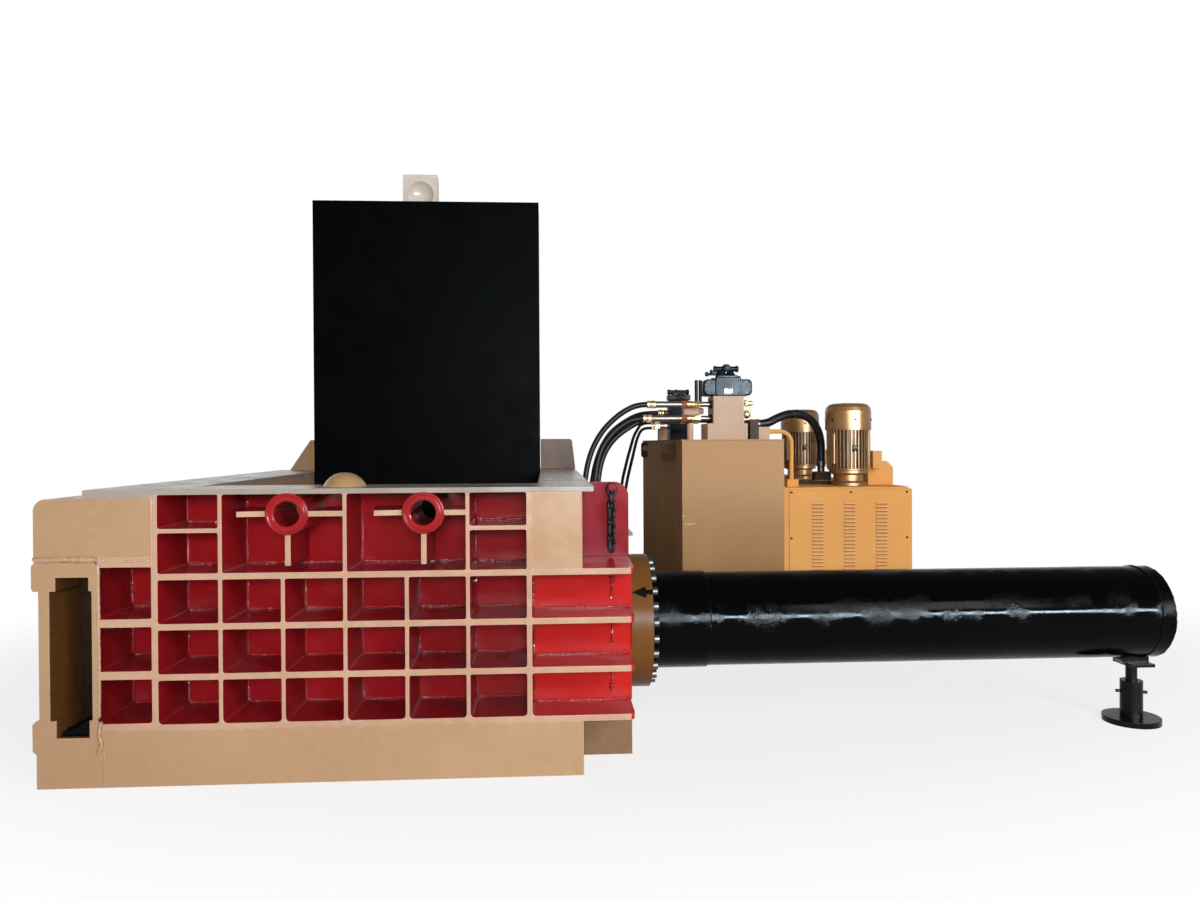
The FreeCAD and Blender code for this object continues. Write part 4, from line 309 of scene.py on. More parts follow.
paints = {
    "framePaint": tanLook,
    # painted sheen: the frame's welds are a lighter copy of the tan
    "beadSheenPaint": {**tanLook, "colour": (0.57, 0.36, 0.225), "deep": (0.47, 0.29, 0.165), "dirt": 0.0,
                  "edgeWearAndSheenShare": 0.0, "shine": 0.3},
    # painted reflection: the top plate fades from pale on the left to dark on the right
    "topPaint": {**tanLook, "paintedLightFade": (-2.2, -0.1, (0.43, 0.355, 0.30), (0.235, 0.190, 0.155), 0),
                 "colour": (0.34, 0.280, 0.225), "deep": (0.29, 0.235, 0.185), "pale": (0.42, 0.365, 0.315),
                 "rough": 0.26, "dirt": 0.04, "mottle": 0.12, "shine": 0.5},
    "lugPaint": {**tanLook, "colour": (0.88, 0.80, 0.72), "deep": (0.80, 0.70, 0.61),
                 "pale": (0.90, 0.85, 0.80), "dirt": 0.1},
    # painted shade: the pedestal under the block is a darker copy of the tan
    "pedestalPaintedShade": {**tanLook, "colour": (0.245, 0.145, 0.076), "deep": (0.21, 0.120, 0.062),
                      "pale": (0.29, 0.175, 0.100)},
    # painted light on the left gusset and painted shade on the right one
    "gussetPaint": {**tanLook, "shine": 0.08,
                    "patches": [((400, 2300, 1000), (700, 2500, 1400), (0.62, 0.305, 0.105)),
                                ((1700, 2300, 1000), (2100, 2500, 1400), (0.20, 0.120, 0.085))]},
    "gatePaint": {**tanLook, "patches": [((30, 6, 180), (232.7, 1400, 800), greaseBrown),
                                         ((231.5, 2, 228), (234, 400, 812), redLook["colour"])]},
    "cellPaint": {**redLook, "front": frontFace},
    # painted light: the open block is a lighter copy of the cell red
    "housingPaintedLight": {**redLook, "front": frontFace, "colour": (0.54, 0.018, 0.015),
                     "deep": (0.46, 0.013, 0.012), "pale": (0.60, 0.03, 0.026)},
    "redPaint": {**redLook, "colour": (0.44, 0.016, 0.015), "deep": (0.36, 0.010, 0.012)},
    "bossPaint": {**redLook, "colour": (0.36, 0.012, 0.014), "deep": (0.28, 0.008, 0.010), "shine": 0.2,
                  "edgeWearAndSheenShare": 0.1},
    "platePaint": {**redLook, "colour": (0.31, 0.018, 0.030), "deep": (0.22, 0.010, 0.018),
                   "pale": (0.38, 0.035, 0.050)},
    # painted sheen: the back welds are a lighter copy of the cell red
    "redBeadSheen": {**redLook, "colour": (0.46, 0.016, 0.020), "rough": 0.12, "shine": 0.55, "dirt": 0.0,
                "edgeWearAndSheenShare": 0.0},
    "lidPaint": {"colour": (0.0014, 0.0019, 0.0025), "deep": (0.0010, 0.0012, 0.0014),
                 "pale": (0.0024, 0.0036, 0.0045), "soil": (0.0012, 0.0012, 0.0012),
                 "edgeWearAndSheen": (0.010, 0.009, 0.008), "rough": 0.38, "ior": 1.055, "edgeWearAndSheenShare": 0.35, "peel": 0.04,
                 "wave": 0.03, "mottle": 0.2},
    "gateBlack": {"colour": (0.0045, 0.0045, 0.0048), "deep": (0.003, 0.003, 0.0032),
                  "pale": (0.010, 0.0095, 0.009), "soil": (0.006, 0.005, 0.004), "edgeWearAndSheen": (0.03, 0.028, 0.026),
                  "rough": 0.24, "edgeWearAndSheenShare": 0.4, "ior": 1.2},
    "gateGrease": {"colour": (0.030, 0.016, 0.008), "deep": (0.012, 0.008, 0.005),
                   "pale": (0.06, 0.032, 0.014), "soil": (0.008, 0.006, 0.005), "edgeWearAndSheen": (0.05, 0.03, 0.015),
                   "rough": 0.26, "dirt": 0.7, "edgeWearAndSheenShare": 0.2, "ior": 1.2},
    "slotGrease": {"colour": (0.003, 0.003, 0.003), "deep": (0.002, 0.002, 0.002),
                   "pale": (0.008, 0.006, 0.004), "soil": (0.004, 0.003, 0.002), "edgeWearAndSheen": (0.01, 0.01, 0.01),
                   "rough": 0.10, "ior": 1.13, "peel": 1.0, "peelScale": 60},
    "cylinderPaint": {"colour": (0.0016, 0.0016, 0.0017), "deep": (0.0010, 0.0010, 0.0011),
                      "pale": (0.0022, 0.0022, 0.0025), "soil": (0.0010, 0.0010, 0.0010),
                      "edgeWearAndSheen": (0.006, 0.006, 0.006), "rough": 0.08, "ior": 1.12, "edgeWearAndSheenShare": 0.3, "peel": 0.12,
                      "patchy": 0.9, "peelScale": 170, "wave": 0.015},
    # painted shade: the tank darkens towards its foot
    "tankPaint": {**unitLook, "paintedLightFade": (0.45, 1.25, (0.245, 0.134, 0.056), (0.62, 0.390, 0.225)),
                  "patches": chipPatches},
    # painted shade: the unit's paint darkened to its look in shade
    "shadedUnitBrown": {**unitLook, "colour": (0.085, 0.052, 0.034), "deep": (0.06, 0.036, 0.024),
                 "pale": (0.13, 0.08, 0.052)},
    "cabinetPaint": cabinetLook,
    "panelPaint": {**cabinetLook, "patches": screwPatches, "louvres": louvres},
    "motorPaint": {**unitLook, "fins": motorFins, "colour": (0.30, 0.150, 0.056),
                   "deep": (0.19, 0.088, 0.030), "pale": (0.45, 0.25, 0.105), "rough": 0.32, "shine": 0.25,
                   "metallic": 0.35, "coat": 0.04, "edge": 0.0015, "dirt": 0.25},
    "manifoldPaint": {**unitLook, "colour": (0.63, 0.430, 0.295), "deep": (0.57, 0.380, 0.250),
                      "pale": (0.69, 0.50, 0.37), "edge": 0.002, "shine": 0.08,
                      "patches": [((2730, 2700, 1270), (2870, 3000, 1560), (0.010, 0.010, 0.012)),
                                  ((3100, 1950, 1270), (3158.5, 2140, 1400), (0.075, 0.035, 0.018)),
                                  ((2780, 2030, 1500), (2835, 2070, 1645), (0.008, 0.010, 0.014))]},
    "domePaint": {**unitLook, "colour": (0.44, 0.265, 0.11), "deep": (0.33, 0.185, 0.07), "rough": 0.26,
                  "shine": 0.7, "coat": 0.3, "edge": 0.002},
    # painted shade: the ring darkens towards its underside
    "ringPaint": {**tanLook, "colour": (0.150, 0.062, 0.014), "deep": (0.110, 0.040, 0.007),
                  "pale": (0.19, 0.088, 0.028), "dirt": 0.3, "rough": 0.30, "shine": 0.07, "mottle": 0.3,
                  "edgeWearAndSheenShare": 0.3, "paintedLightFade": (0.30, 0.62, (0.048, 0.012, 0.001), (0.175, 0.074, 0.017))},
    "valveBlack": valveLook,
    "knobBlue": {**valveLook, "colour": (0.045, 0.060, 0.085), "deep": (0.03, 0.04, 0.06),
                 "pale": (0.09, 0.12, 0.15)},
}
for paintName, look in paints.items():
    paintedSteel(paintName, look)


# bare and plated metal, and rubber
plainMetal = {"metallic": 1.0, "ior": 1.45, "scale": 30, "stretch": (1, 1, 0.08), "stained": 0.5}


def metal(name, look):
    # bare or plated metal with fine scratches and stains
    look = {**plainMetal, **look}
    _, tree, shader, place = newMaterial(name)
    stain = noise(tree, place, look["scale"], 4, 0.65)
    scratch = noise(tree, place, 160, 3, 0.6, look["stretch"])
    stained = band(tree, stain, 0.35, 0.75, 0, look["stained"])
    colour = blendColour(tree, stained, solid(look["colour"]), solid(look["stain"]))
    tree.links.new(colour, shader.inputs["Base Color"])
    shader.inputs["Metallic"].default_value = look["metallic"]
    shader.inputs["IOR"].default_value = look["ior"]
    rough = band(tree, stain, 0.3, 0.8, look["rough"] - 0.06, look["rough"] + 0.14)
    tree.links.new(calc(tree, "ADD", rough, times(tree, scratch, 0.08)), shader.inputs["Roughness"])
    soft = roundedEdge(tree, 0.0015)
    tree.links.new(bump(tree, scratch, 0.12, 0.001, soft), shader.inputs["Normal"])


metals = {
    "brass": {"colour": (0.80, 0.60, 0.25), "stain": (0.52, 0.33, 0.11), "rough": 0.24},
    "copperHex": {"colour": (0.44, 0.185, 0.085), "stain": (0.20, 0.075, 0.032), "rough": 0.34},
    "pipeSteel": {"colour": (0.140, 0.108, 0.088), "stain": (0.07, 0.050, 0.040), "rough": 0.38,
                  "stretch": (0.08, 1, 1)},
    "bareSteel": {"colour": (0.50, 0.49, 0.48), "stain": (0.26, 0.22, 0.19), "rough": 0.34,
                  "stretch": (0.08, 1, 1)},
    "screwSteel": {"colour": (0.085, 0.077, 0.068), "stain": (0.02, 0.016, 0.013), "rough": 0.38,
                   "scale": 90},
    "hardChrome": {"colour": (0.74, 0.74, 0.76), "stain": (0.60, 0.60, 0.61), "rough": 0.14, "stained": 0.3},
    "chainIron": {"colour": (0.008, 0.008, 0.008), "stain": (0.022, 0.016, 0.012), "rough": 0.42,
                  "metallic": 0.0, "ior": 1.22},
}
for metalName, look in metals.items():
    metal(metalName, look)


def hoseCover():
    # dull rubber with a fine grain and an uneven tone
    material, tree, shader, place = newMaterial("hoseRubber")
    tone = noise(tree, place, 26, 4, 0.6)
    colour = blendColour(tree, band(tree, tone, 0.35, 0.7), solid((0.006, 0.006, 0.007)),
                         solid((0.016, 0.014, 0.013)))
    tree.links.new(colour, shader.inputs["Base Color"])
    tree.links.new(band(tree, tone, 0.3, 0.7, 0.36, 0.5), shader.inputs["Roughness"])
    shader.inputs["IOR"].default_value = 1.22
    tree.links.new(bump(tree, noise(tree, place, 420, 2), 0.3, 0.0006), shader.inputs["Normal"])
    return material


hoseRubber = hoseCover()
print("finishes mixed")

# hoses: each follows its route as one smooth line; real length and diameter in metres, route in mm
hoses = {
    "upper": {"length": 0.886, "diameter": 0.034, "route": [
        (2500, 2050, 1490), (2440, 2050, 1490), (2356, 2050, 1453), (2278, 2050, 1392), (2214, 2050, 1322),
        (2165, 2050, 1236), (2134, 2050, 1148), (2116, 2050, 1052), (2108, 2050, 956), (2112, 2050, 870),
        (2112, 2050, 800)]},
    "lower": {"length": 0.757, "diameter": 0.034, "route": [
        (2475, 2050, 1405), (2412, 2050, 1405), (2332, 2050, 1360), (2268, 2050, 1302), (2218, 2050, 1230),
        (2190, 2050, 1142), (2176, 2050, 1046), (2168, 2050, 956), (2166, 2050, 876), (2166, 2050, 805)]},
    "rear": {"length": 1.280, "diameter": 0.034, "route": [
        (2667, 2850, 1464), (2590, 2850, 1464), (2500, 2772, 1447), (2400, 2625, 1396), (2305, 2490, 1330),
        (2235, 2345, 1238), (2190, 2235, 1136), (2164, 2160, 1020), (2146, 2118, 920), (2140, 2104, 850),
        (2140, 2104, 788)]},
    "behind": {"length": 0.768, "diameter": 0.034, "route": [
        (2532, 2120, 1395), (2466, 2120, 1395), (2384, 2120, 1350), (2312, 2120, 1298), (2254, 2120, 1230),
        (2218, 2120, 1146), (2200, 2120, 1054), (2192, 2119, 962), (2194, 2118, 880), (2194, 2118, 806)]},
    "pilot": {"length": 1.042, "diameter": 0.020, "route": [
        (2618, 2850, 1395), (2572, 2850, 1395), (2534, 2815, 1382), (2508, 2762, 1352), (2474, 2684, 1306),
        (2448, 2598, 1244), (2420, 2512, 1176), (2394, 2430, 1104), (2366, 2350, 1022), (2350, 2276, 936),
        (2340, 2212, 872), (2338, 2180, 812), (2338, 2180, 754)]},
    "pilotReturn": {"length": 0.999, "diameter": 0.020, "route": [
        (2618, 2850, 1360), (2574, 2850, 1360), (2540, 2822, 1346), (2516, 2770, 1314), (2492, 2694, 1270),
        (2470, 2610, 1214), (2446, 2522, 1150), (2420, 2440, 1080), (2394, 2360, 1000), (2376, 2288, 920),
        (2368, 2222, 862), (2366, 2192, 806), (2366, 2192, 752)]},
    "suction": {"length": 0.725, "diameter": 0.052, "route": [
        (3180, 2090, 1370), (3240, 2090, 1370), (3308, 2106, 1406), (3384, 2133, 1432), (3470, 2166, 1434),
        (3552, 2206, 1404), (3606, 2238, 1338), (3632, 2256, 1258), (3633, 2260, 1178), (3633, 2260, 1112)]},
}
for name, facts in hoses.items():
    length, diameter = facts["length"], facts["diameter"]
    curveData = bpy.data.curves.new(name + "Hose", "CURVE")
    curveData.dimensions = "3D"
    line = curveData.splines.new("NURBS")
    points = spots(facts["route"])
    line.points.add(len(points) - 1)
    line.points.foreach_set("co", np.column_stack([points, np.ones(len(points))]).ravel())
    line.order_u = 3
    line.use_endpoint_u = True
    curveData.resolution_u = 14
    curveData.bevel_depth = diameter / 2
    curveData.bevel_resolution = 7
    curveData.use_fill_caps = True
    hose = bpy.data.objects.new(name + "Hose", curveData)
    bpy.context.scene.collection.objects.link(hose)
    curveData.materials.append(hoseRubber)
    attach(hose, "machine")
    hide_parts("suction_hose" if name == "suction" else "pressure_hoses")
print("hoses laid")

# finishes of the machine's own pieces
finishes = {
    "framePaint": ["front_base_beam", "gate_base_beam", "rear_base_beam", "chamber_floor",
                   "tower_front_plate", "left_side_wall", "right_side_wall", "pusher_housing", "corner_box",
                   "lid_cylinder_brackets", "hose_bracket"],
    "pedestalPaintedShade": ["ram_pedestal"],
    "topPaint": ["top_plate"],
    "gussetPaint": ["hinge_gussets"],
    "gatePaint": ["gate_guide"],
    "lugPaint": ["lid_lug"],
    "cellPaint": ["front_wall"],
    "housingPaintedLight": ["ram_housing"],
    "redPaint": ["gate_tower"],
    "bossPaint": ["lock_bosses"],
    "platePaint": ["chain_plate"],
    "ringPaint": ["mounting_ring"],
    "domePaint": ["locating_dome"],
    "lidPaint": ["lid_panel"],
    "gateGrease": ["gate_plate"],
    "gateBlack": ["gate_cylinder", "side_cylinder", "lid_cylinder_barrels", "foot_base", "foot_post"],
    "cylinderPaint": ["main_cylinder"],
    "tankPaint": ["oil_tank", "tank_cover"],
    "cabinetPaint": ["pump_cabinet", "motor_deck", "terminal_boxes", "return_pipe"],
    "panelPaint": ["cabinet_panel"],
    "motorPaint": ["motor_frames", "motor_cowls"],
    "manifoldPaint": ["valve_manifolds", "tank_fittings"],
    "valveBlack": ["control_valves", "oil_pumps", "cylinder_glands"],
    "brass": ["hose_fittings"],
    "bareSteel": ["floor_liner", "main_ram", "side_pusher", "pivot_pins", "front_rotor", "rear_rotor"],
    "screwSteel": ["flange_bolts"],
    "hardChrome": ["gate_rod", "main_rod", "side_rod", "lid_cylinder_rods"],
    "chainIron": ["hanging_chain"],
}
for finish, names in finishes.items():
    for name in names:
        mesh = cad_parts[name].data
        mesh.materials.clear()
        mesh.materials.append(bpy.data.materials[finish])
print("machine painted")

# surfaces
alongX, towardsFront, upwards = (1, 0, 0), (0, -1, 0), (0, 0, 1)


def gridFaces(rows, columns, wrapRows=False):
    # four-sided faces between neighbouring points of a grid whose columns go right round
    row = np.arange(rows if wrapRows else rows - 1)[:, None]
    column = np.arange(columns)[None, :]
    nextRow, nextColumn = (row + 1) % rows, (column + 1) % columns
    corners = np.broadcast_arrays(row * columns + column, row * columns + nextColumn,
                                  nextRow * columns + nextColumn, nextRow * columns + column)
    return np.stack(corners, -1).reshape(-1, 4)


def addPiece(name, shapes, finish, body="machine", replacing=()):
    # closed shapes gathered in one mesh, with meeting points merged and every face turned outwards
    starts = np.cumsum([0] + [len(points) for points, faces in shapes])
    points = np.concatenate([points for points, faces in shapes]).astype(np.float32)
    faces = np.concatenate([faces + start for (_, faces), start in zip(shapes, starts)]).astype(np.int32)
    mesh = bpy.data.meshes.new(name)
    mesh.vertices.add(len(points))
    mesh.vertices.foreach_set("co", points.ravel())
    mesh.loops.add(faces.size)
    mesh.loops.foreach_set("vertex_index", faces.ravel())
    mesh.polygons.add(len(faces))
    mesh.polygons.foreach_set("loop_start", np.arange(0, faces.size, 4, dtype=np.int32))
    mesh.update(calc_edges=True)
    cleaner = bmesh.new()
    cleaner.from_mesh(mesh)
    bmesh.ops.remove_doubles(cleaner, verts=cleaner.verts, dist=2e-6)
    bmesh.ops.recalc_face_normals(cleaner, faces=cleaner.faces)
    cleaner.to_mesh(mesh)
    cleaner.free()
    mesh.polygons.foreach_set("use_smooth", np.ones(len(mesh.polygons), bool))
    mesh.set_sharp_from_angle(angle=math.radians(35))
    mesh.materials.append(bpy.data.materials[finish])
    made = bpy.data.objects.new(name, mesh)
    bpy.context.scene.collection.objects.link(made)
    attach(made, body)
    if replacing:
        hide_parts(*replacing)


def turned(start, axis, profile, sides=28, spin=0.0, wrap=False):
    # a profile of distances and radii turned about an axis: each point is the start, plus the axis times its
    # distance, plus its radius times the sum of side by cosine and rise by sine
    axis = np.array(axis, float) / np.linalg.norm(axis)
    side = np.cross(axis, (0, 0, 1) if abs(axis[2]) < 0.9 else (1, 0, 0))
    side = side / np.linalg.norm(side)
    rise = np.cross(axis, side)
    angle = spin + np.arange(sides) * 2 * np.pi / sides
    rim = np.cos(angle)[:, None] * side + np.sin(angle)[:, None] * rise
    profile = np.array(profile, float)
    points = np.array(start, float) + profile[:, 0, None, None] * axis + profile[:, 1, None, None] * rim
    return spots(points.reshape(-1, 3)), gridFaces(len(profile), sides, wrap)


def roundBar(start, axis, length, radius, edge=2.0, sides=28):
    # a turned bar with bevelled ends
    profile = [(0, 0), (0, radius - edge), (edge, radius), (length - edge, radius), (length, radius - edge),
               (length, 0)]
    return turned(start, axis, profile, sides)


def hexBar(start, axis, length, radius, spin=0.0):
    # a hexagonal nut with bevelled ends, measured to its corners
    bevel, face = radius * 0.1, radius * 0.86
    profile = [(0, 0), (0, face), (bevel, radius), (length - bevel, radius), (length, face), (length, 0)]
    return turned(start, axis, profile, 6, spin)


def block(low, high, edge=3.0, corner=None, along=2):
    # a rounded rectangle carried from one end to the other, drawn in by the edge at both ends
    low, high = np.array(low, float), np.array(high, float)
    across = [k for k in range(3) if k != along]
    corner = edge if corner is None else corner
    turn = np.radians(np.arange(16) // 4 * 90 + np.arange(16) % 4 * 30)
    signs = np.array([(1, 1), (-1, 1), (-1, -1), (1, -1)])[np.arange(16) // 4]
    half = (high[across] - low[across]) / 2
    middle = (high[across] + low[across]) / 2
    rim = signs * (half - corner) + corner * np.column_stack([np.cos(turn), np.sin(turn)])
    drawnIn = rim * (half - edge) / half
    ends = [(low[along], rim * 0), (low[along], drawnIn), (low[along] + edge, rim), (high[along] - edge, rim),
            (high[along], drawnIn), (high[along], rim * 0)]
    points = np.empty((6, 16, 3))
    for row, (level, outline) in enumerate(ends):
        points[row][:, across] = middle + outline
        points[row][:, along] = level
    return spots(points.reshape(-1, 3)), gridFaces(6, 16)


def bead(path, radius, seed, step=4.5, ripple=0.2):
    # a weld bead, a round section carried along a path: each point is the line, plus the swell of the pass
    # times the sum of side by cosine and rise by sine, plus a small sway along the rise
    path = np.array(path, float)
    along = np.concatenate([[0], np.cumsum(np.linalg.norm(np.diff(path, axis=0), axis=1))])
    count, sides = max(6, int(along[-1] / step)), 8
    at = np.linspace(0, along[-1], count)
    line = np.stack([np.interp(at, along, path[:, k]) for k in range(3)], -1)
    heading = np.gradient(line, axis=0)
    heading /= np.linalg.norm(heading, axis=1, keepdims=True)
    side = np.cross(heading, (0.31, -0.87, 0.38))
    side /= np.linalg.norm(side, axis=1, keepdims=True)
    rise = np.cross(heading, side)
    shaker = np.random.default_rng(seed)
    uneven, sway = [np.interp(at, np.linspace(0, along[-1], knots), shaker.uniform(-1, 1, knots))
                    for knots in (max(3, count // 3), max(3, count // 4))]
    swell = radius * (1 + ripple * np.sin(at * 2 * np.pi / (step * 2.6)) + 1.1 * ripple * uneven)
    swell[[0, -1]] = 0
    angle = np.arange(sides) * 2 * np.pi / sides
    rim = np.cos(angle)[None, :, None] * side[:, None] + np.sin(angle)[None, :, None] * rise[:, None]
    points = line[:, None] + swell[:, None, None] * rim + (sway * radius * 0.2)[:, None, None] * rise[:, None]
    return spots(points.reshape(-1, 3)), gridFaces(count, sides)


# welds of the ribbed front
frontCells = {
    "columns": [(449, 668), (682, 895.5), (909.5, 1123), (1137, 1350.5), (1364.5, 1578), (1592, 1805.5)],
    "rows": [(228.1, 390.4), (413.4, 575.7), (598.7, 761)],
    "sideColumn": (233, 427), "sideRows": [(234, 396.5), (426.5, 589), (619, 810)],
    "upperColumns": [(449, 668), (1592, 1805.5)], "upperRows": [(784, 934), (950, 1075)],
    "wideColumns": [(682, 1123), (1137, 1578)], "wideRow": (784, 1075),
    "depth": 285, "shelfLeft": 1824.5, "shelfDepth": 200,
    "frontWeld": 8, "deepWeld": 6, "fullBelow": 240, "full": 1.8,
}
# left, right, low and high of each cell
cells = [(*column, *row) for column in frontCells["columns"] for row in frontCells["rows"]]
cells += [(*frontCells["sideColumn"], *row) for row in frontCells["sideRows"]]
cells += [(*column, *row) for column in frontCells["upperColumns"] for row in frontCells["upperRows"]]
cells += [(*column, *frontCells["wideRow"]) for column in frontCells["wideColumns"]]


def cornerWelds(corners, depth):
    # a hollow quarter round in each corner, wide at the front and narrow behind: each point is the corner,
    # plus the outline times the corner's signs and the size at that depth
    corners = np.array(corners, float)  # x, z, sign of x, sign of z
    turn = np.radians(np.linspace(270, 180, 6))
    hollow = np.column_stack([1 + np.cos(turn), 1 + np.sin(turn)])
    outline = np.vstack([[(-0.12, -0.12), (0.5, -0.12), (1.0, -0.12)], hollow, [(-0.12, 1.0), (-0.12, 0.5)]])
    level = np.array([1.2, 1.2, 3, 10, 18, 26, 60, 110, 170, 230, depth - 1, depth - 1])
    front, deep = frontCells["frontWeld"], frontCells["deepWeld"]
    size = np.interp(level, [0, 3, 24, 300], [front * 0.93, front, deep, deep])
    # the lowest corners carry the fullest welds
    lowest = (corners[:, 1] < frontCells["fullBelow"]) & (corners[:, 3] > 0)
    fuller = np.where(lowest, frontCells["full"], 1.0)
    section = np.broadcast_to(outline, (len(level), len(outline), 2)).copy()
    section[[0, -1]] = 0.1
    uneven = np.random.default_rng(4).uniform(0.88, 1.15, (len(corners), len(level)))
    widths = (size * uneven * fuller[:, None])[:, :, None, None]
    flat = corners[:, None, None, :2] + corners[:, None, None, 2:] * section[None] * widths
    points = np.empty(flat.shape[:3] + (3,))
    points[..., 0], points[..., 2] = flat[..., 0], flat[..., 1]
    points[..., 1] = level[None, :, None]
    faces = gridFaces(len(level), len(outline))
    offsets = np.arange(len(corners)) * len(level) * len(outline)
    return spots(points.reshape(-1, 3)), (faces[None] + offsets[:, None, None]).reshape(-1, 4)


corners = [(x, z, signX, signZ) for left, right, low, high in cells for x, signX in ((left, 1), (right, -1))
           for z, signZ in ((low, 1), (high, -1))]
addPiece("cell_corner_welds", [cornerWelds(corners, frontCells["depth"])], "cellPaint")
openCorners = [(frontCells["shelfLeft"], z, 1, signZ) for low, high in frontCells["rows"]
               for z, signZ in ((low, 1), (high, -1))]
shelfWelds = cornerWelds(openCorners, frontCells["shelfDepth"])
addPiece("housing_corner_welds", [shelfWelds], "cellPaint")

# beads along the back of each cell and of each open shelf, and along the foot of each cell's left side
backWelds = {"cell": 281, "cellSize": 5, "footSize": 3.4, "shelf": 196, "ripple": 0.26}
cellBack, shelfBack, ripple = backWelds["cell"], backWelds["shelf"], backWelds["ripple"]
backBeads = []
for number, (left, right, low, high) in enumerate(cells):
    foot = [(left + 5, cellBack, low + 3), (right - 5, cellBack, low + 3)]
    upright = [(left + 3, cellBack, low + 5), (left + 3, cellBack, high - 5)]
    inwards = [(left + 3, 14, low + 2), (left + 3, 279, low + 2)]
    backBeads.append(bead(foot, backWelds["cellSize"], number, ripple=ripple))
    backBeads.append(bead(upright, backWelds["cellSize"], number + 50, ripple=ripple))
    backBeads.append(bead(inwards, backWelds["footSize"], number + 100, 9, 0.15))
for number, (low, high) in enumerate(frontCells["rows"]):
    foot = [(1830, shelfBack, low + 3), (2140, shelfBack, low + 3), (2212, shelfBack, low + 6)]
    rough = [(2138, shelfBack + 2, high - 18), (2143, shelfBack + 1, low + 90),
             (2136, shelfBack + 1, low + 28)]
    upright = [(1828, shelfBack, low + 5), (1828, shelfBack, high - 5)]
    backBeads.append(bead(foot, 6, number + 150, ripple=ripple))
    backBeads.append(bead(rough, 8, number + 155, 7, 0.5))
    backBeads.append(bead(upright, 5, number + 160, ripple=ripple))
addPiece("cell_back_welds", backBeads, "redBeadSheen")

# seams in the frame: path, size, seed, step and ripple of each bead
frameWelds = [([(9, -1, 840), (100, -3, 842), (236, -1, 840)], 10, 201, 6, 0.14),
              ([(9, 0, 843), (9, 26, 843)], 8, 202, 4.5, 0.12),
              ([(236, 4, 836), (330, 4, 833), (426, 5, 832)], 6, 203, 6, 0.3),
              ([(236, -3, 126), (247, -4, 160), (238, -3, 196), (246, -3, 248)], 8, 204, 5, 0.2),
              ([(236, 3, 252), (239, 2, 420), (237, 3, 600), (236, 3, 826)], 6, 205, 12, 0.16),
              ([(256, 3, 207), (700, 3, 206), (1300, 3, 207), (2014, 3, 206)], 4.5, 206, 4.5, 0.18),
              ([(255, 1, 4), (254, 1, 124)], 3.5, 207, 4.5, 0.2),
              ([(428, 1, 812), (428, 1, 1062)], 3.5, 208, 4.5, 0.12),
              ([(1826, 2, 786), (1826, 2, 1072)], 3.2, 209, 4.5, 0.12),
              ([(2013, 2, 786), (2013, 2, 1072)], 3.2, 210, 4.5, 0.12),
              ([(20, 3, 127), (230, 3, 128)], 3.5, 211, 4.5, 0.2)]
addPiece("frame_welds", [bead(*facts) for facts in frameWelds], "beadSheenPaint")
print("welds laid")

# lock bosses: a grooved ring round each bore
bossRing = {"centres": [(918, 1001), (1420, 1001)], "bore": 48, "groove": 66, "outside": 78}
bore, groove, outside = bossRing["bore"], bossRing["groove"], bossRing["outside"]
ringProfile = [(8, bore), (-1, bore), (-3, bore + 2), (-3, groove - 2), (-0.6, groove), (-0.6, groove + 2),
               (-3, groove + 4), (-3, outside - 3), (-1, outside - 0.6), (8, outside - 0.6)]
bossRings = [turned((x, 0, z), (0, 1, 0), ringProfile, 56, wrap=True) for x, z in bossRing["centres"]]
addPiece("boss_rings", bossRings, "bossPaint")

# gate slot: grease and cuttings gathered at its foot
greaseHeap = {"low": (93, 24, 184), "high": (201, 172, 262), "across": 34, "deep": 44, "seed": 8,
              "waves": ((60, 8), (26, 6), (11, 4))}


def heap(low, high, across, deep, seed, waves):
    # a lumpy slope closed below by a flat sheet: its height is the slope from left to right, plus for each
    # wave the sine of x, bent by y, times the cosine of y
    shaker = np.random.default_rng(seed)
    x, y = np.meshgrid(np.linspace(low[0], high[0], across), np.linspace(low[1], high[1], deep))
    rise = (x - low[0]) / (high[0] - low[0])
    z = low[2] + 12 + (high[2] - low[2] - 24) * rise ** 1.3
    for size, height in waves:
        phase = shaker.uniform(0, 6.28, 3)
        bent = x * 6.28 / size + phase[0] + 1.7 * np.sin(y * 6.28 / (size * 1.4) + phase[1])
        z += height * np.sin(bent) * np.cos(y * 6.28 / size + phase[2])
    z = np.maximum(z, low[2] + 1.5)
    top = np.stack([x, y, z], -1)
    base = top.copy()
    base[..., 2] = low[2] + 0.5
    count = across * deep
    index = np.arange(count).reshape(deep, across)
    upper = np.stack([index[:-1, :-1], index[:-1, 1:], index[1:, 1:], index[1:, :-1]], -1).reshape(-1, 4)
    edge = np.concatenate([index[0, :], index[1:, -1], index[-1, -2::-1], index[-2:0:-1, 0]])
    after = np.roll(edge, -1)
    wall = np.stack([edge, after, after + count, edge + count], -1)
    points = np.concatenate([top.reshape(-1, 3), base.reshape(-1, 3)])
    return spots(points), np.concatenate([upper, upper + count, wall])


addPiece("gate_slot_grease", [heap(**greaseHeap)], "slotGrease")

